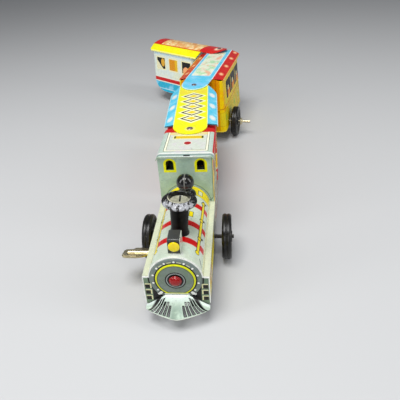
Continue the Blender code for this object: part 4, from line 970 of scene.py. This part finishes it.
def fan_piece(material):
    """The slotted fan: its slots spread from the smokebox's middle, and the middle ones start lower down."""
    edges = [side * edge for side in (-1, 1) for slot in FAN_SLOTS for edge in slot[:2]]
    columns = sorted([-1.0, -0.93, -0.12, 0.0, 0.12, 0.93, 1.0] + edges)
    last_open = len(FAN_ROWS) - 3
    shape = bmesh.new()
    layout = shape.loops.layers.uv.new("fan")
    grid = [[shape.verts.new(fan_point(column, down)) for column in columns] for down in FAN_ROWS]
    for row in range(len(FAN_ROWS) - 1):
        for column in range(len(columns) - 1):
            span = tuple(sorted((abs(columns[column]), abs(columns[column + 1]))))
            if any(span == slot[:2] and slot[2] <= row <= last_open for slot in FAN_SLOTS):
                continue
            corners = (column, row), (column + 1, row), (column + 1, row + 1), (column, row + 1)
            face = shape.faces.new([grid[down][across] for across, down in corners])
            for loop, (across, down) in zip(face.loops, corners):
                loop[layout].uv = (columns[across] / 2 + 0.5, FAN_ROWS[down])
    made = piece("cowcatcher", "fan", mesh_from(shape, "cowcatcher_fan", ENGINE.matrix), material)
    solid = made.modifiers.new("sheet", "SOLIDIFY")
    solid.thickness = 0.55 * MM
    solid.offset = 0
    solid.use_even_offset = True
    roll_edges(made, 0.12, 2)


def rivet_pieces(material):
    """The three hollow rivets, with domed and dimpled heads."""
    for number, vehicle in ((1, CAR_1), (2, CAR_2), (3, CAR_3)):
        node = "coupling_rivet_%d" % number
        low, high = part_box(node)
        foot, top = low.z / MM, high.z / MM
        profile = [(0, foot), (1.9, foot), (2.07, foot + 0.25), (2.05, foot + 0.6), (1.3, foot + 0.6)]
        profile += [(1.3, top - 0.6), (2.3, top - 0.6), (2.28, top - 0.38), (2.0, top - 0.14), (1.5, top)]
        profile += [(1.05, top - 0.04), (0.8, top - 0.22), (0, top - 0.34)]
        piece(node, "headed", turned(node, profile, vehicle.matrix, 48), material, sharp=40)


# ---- dressing the train

def dress():
    """Gives every node its print or its finish, and swaps the shown ones for finer pieces."""
    wheel_black = enamel_finish("enamel_wheel", ink(10, 10, 11), 0.24, 0, 0.4)
    steel = metal_finish("steel_sheet", ink(158, 156, 150), 0.3, (1, 0.1, 1))
    wire = metal_finish("steel_wire", ink(188, 182, 168), 0.22, (0.1, 1, 1))
    oiled = metal_finish("steel_oiled", ink(60, 56, 52), 0.42, (0.1, 1, 1), ink(30, 26, 22))
    spring = metal_finish("spring_blue", ink(86, 92, 112), 0.26, (1, 0.1, 0.1), ink(60, 50, 70))
    brass = metal_finish("gear_brass", ink(196, 158, 86), 0.28, (0.1, 1, 1), ink(110, 78, 40))
    nickel = metal_finish("key_nickel", ink(204, 194, 160), 0.24, (0.2, 1, 1), ink(150, 126, 84))
    rivet = metal_finish("rivet_plate", ink(190, 172, 170), 0.3, (1, 1, 1), ink(140, 96, 90))
    red = jewel_finish("jewel_red", ink(140, 0, 2), ink(190, 2, 4))
    lens = jewel_finish("lens_yellow", ink(238, 214, 6), ink(250, 226, 20))

    softened("boiler_shell", boiler_print())
    softened("front_plate", front_print())
    softened("footplate", footplate_print())
    softened("cab_shell", cab_print())
    softened("cab_roof", cab_roof_print())
    softened("headlamp", lamp_print(), 0.35, 3)
    softened("base_plate", steel)
    softened("winding_key", nickel, 0.22, 3)
    softened("car1_roof", car_1_roof_print())
    softened("car1_body", car_1_side_print())
    softened("car2_roof", car_2_roof_print())
    softened("car2_body", car_2_side_print())
    softened("car3_roof", car_3_roof_print())
    softened("car3_body", car_3_side_print())
    softened("car2_floor", steel)
    softened("car3_floor", steel)

    fan_piece(catcher_print())
    crown_piece(crown_print())
    stem_piece(enamel_finish("enamel_stem", ink(6, 6, 8), 0.3, 0, 0.12))
    dome_halves(dome_print())
    jewel_pieces(red, lens)
    rivet_pieces(rivet)
    for stem, vehicle, middle, reach, y in (
        ("drive", ENGINE, DRIVE_AXLE_X, DRIVE_WHEEL_REACH, DRIVE_AXLE_Y),
        ("car2", CAR_2, 0, CAR_WHEEL_REACH, CAR_AXLE_Y),
    ):
        for side, outward in (("left", -1), ("right", 1)):
            centre = (middle + reach * outward, y, WHEEL_RADIUS)
            wheel_piece("%s_wheel_%s" % (stem, side), vehicle, centre, outward, wheel_black)

    by_slot = {"plain_steel": wire, "spring_steel": spring, "gear_brass": brass, "black_tin": wheel_black}
    sheets = ("motor_plate_left", "motor_plate_right", "front_bracket", "ratchet_wheel", "click")
    by_name = {"drive_axle": oiled, "front_axle": oiled, "car2_axle": nickel, **dict.fromkeys(sheets, steel)}
    for name, node in NODES.items():
        if not node.hide_render:
            node.data.materials.clear()
            node.data.materials.append(by_name.get(name) or by_slot[SLOTS[name]])


# ---- floor, light and camera

def studio():
    """A pale floor, a soft sky and four soft lights."""
    mesh = bpy.data.meshes.new("floor")
    reach = 3  # metres
    corners = [(-reach, -reach, 0), (reach, -reach, 0), (reach, reach, 0), (-reach, reach, 0)]
    mesh.from_pydata(corners, [], [(0, 1, 2, 3)])
    mesh.materials.append(Print("floor_paper", ENGINE, ink(196, 197, 198)).shaded({"Roughness": 0.75}))
    placed("floor", mesh)

    world = bpy.data.worlds.new("studio")
    world.use_nodes = True
    sky = world.node_tree.nodes["Background"].inputs
    sky["Color"].default_value = (0.92, 0.95, 1, 1)
    sky["Strength"].default_value = 0.2
    bpy.context.scene.world = world
    bpy.context.scene.view_settings.view_transform = "Standard"

    # Places and sizes in metres, powers in watts
    for name, place, size, power in (
        ("overhead", (-0.1, -0.35, 0.95), (0.5, 0.5), 8.0),
        ("right_strip", (0.85, -0.25, 0.6), (0.25, 1.0), 3.4),
        ("left_strip", (-0.8, -0.5, 0.55), (0.25, 0.8), 3.0),
        ("front_fill", (0.15, -1.1, 0.5), (0.6, 0.4), 2.2),
    ):
        light = bpy.data.lights.new(name, "AREA")
        light.shape = "RECTANGLE"
        light.size, light.size_y = size
        light.energy = power
        lamp = placed(name, light)
        lamp.location = place
        lamp.rotation_euler = (-Vector(place)).to_track_quat("-Z", "Y").to_euler()


def camera():
    """A camera ahead of the locomotive, above it and a little to its right, looking down along the train."""
    eye = ENGINE.origin + Vector((34.7, -176.4, 196.3)) * MM
    pitch, roll, yaw = math.radians(32.56), math.radians(3.66), math.radians(-5.9)
    ahead = Vector((math.sin(yaw) * math.cos(pitch), math.cos(yaw) * math.cos(pitch), -math.sin(pitch)))
    level = Vector((math.cos(yaw), -math.sin(yaw), 0))
    down = ahead.cross(level)
    right = level * math.cos(roll) + down * math.sin(roll)
    lower = down * math.cos(roll) - level * math.sin(roll)
    turn = Matrix((right, -lower, -ahead)).transposed()
    lens = bpy.data.cameras.new("camera")
    lens.sensor_width = 36
    lens.lens = 38.7
    lens.clip_start = 0.01
    made = placed("camera", lens)
    made.matrix_world = Matrix.Translation(eye) @ turn.to_4x4()
    bpy.context.scene.camera = made


camera()
studio()
dress()
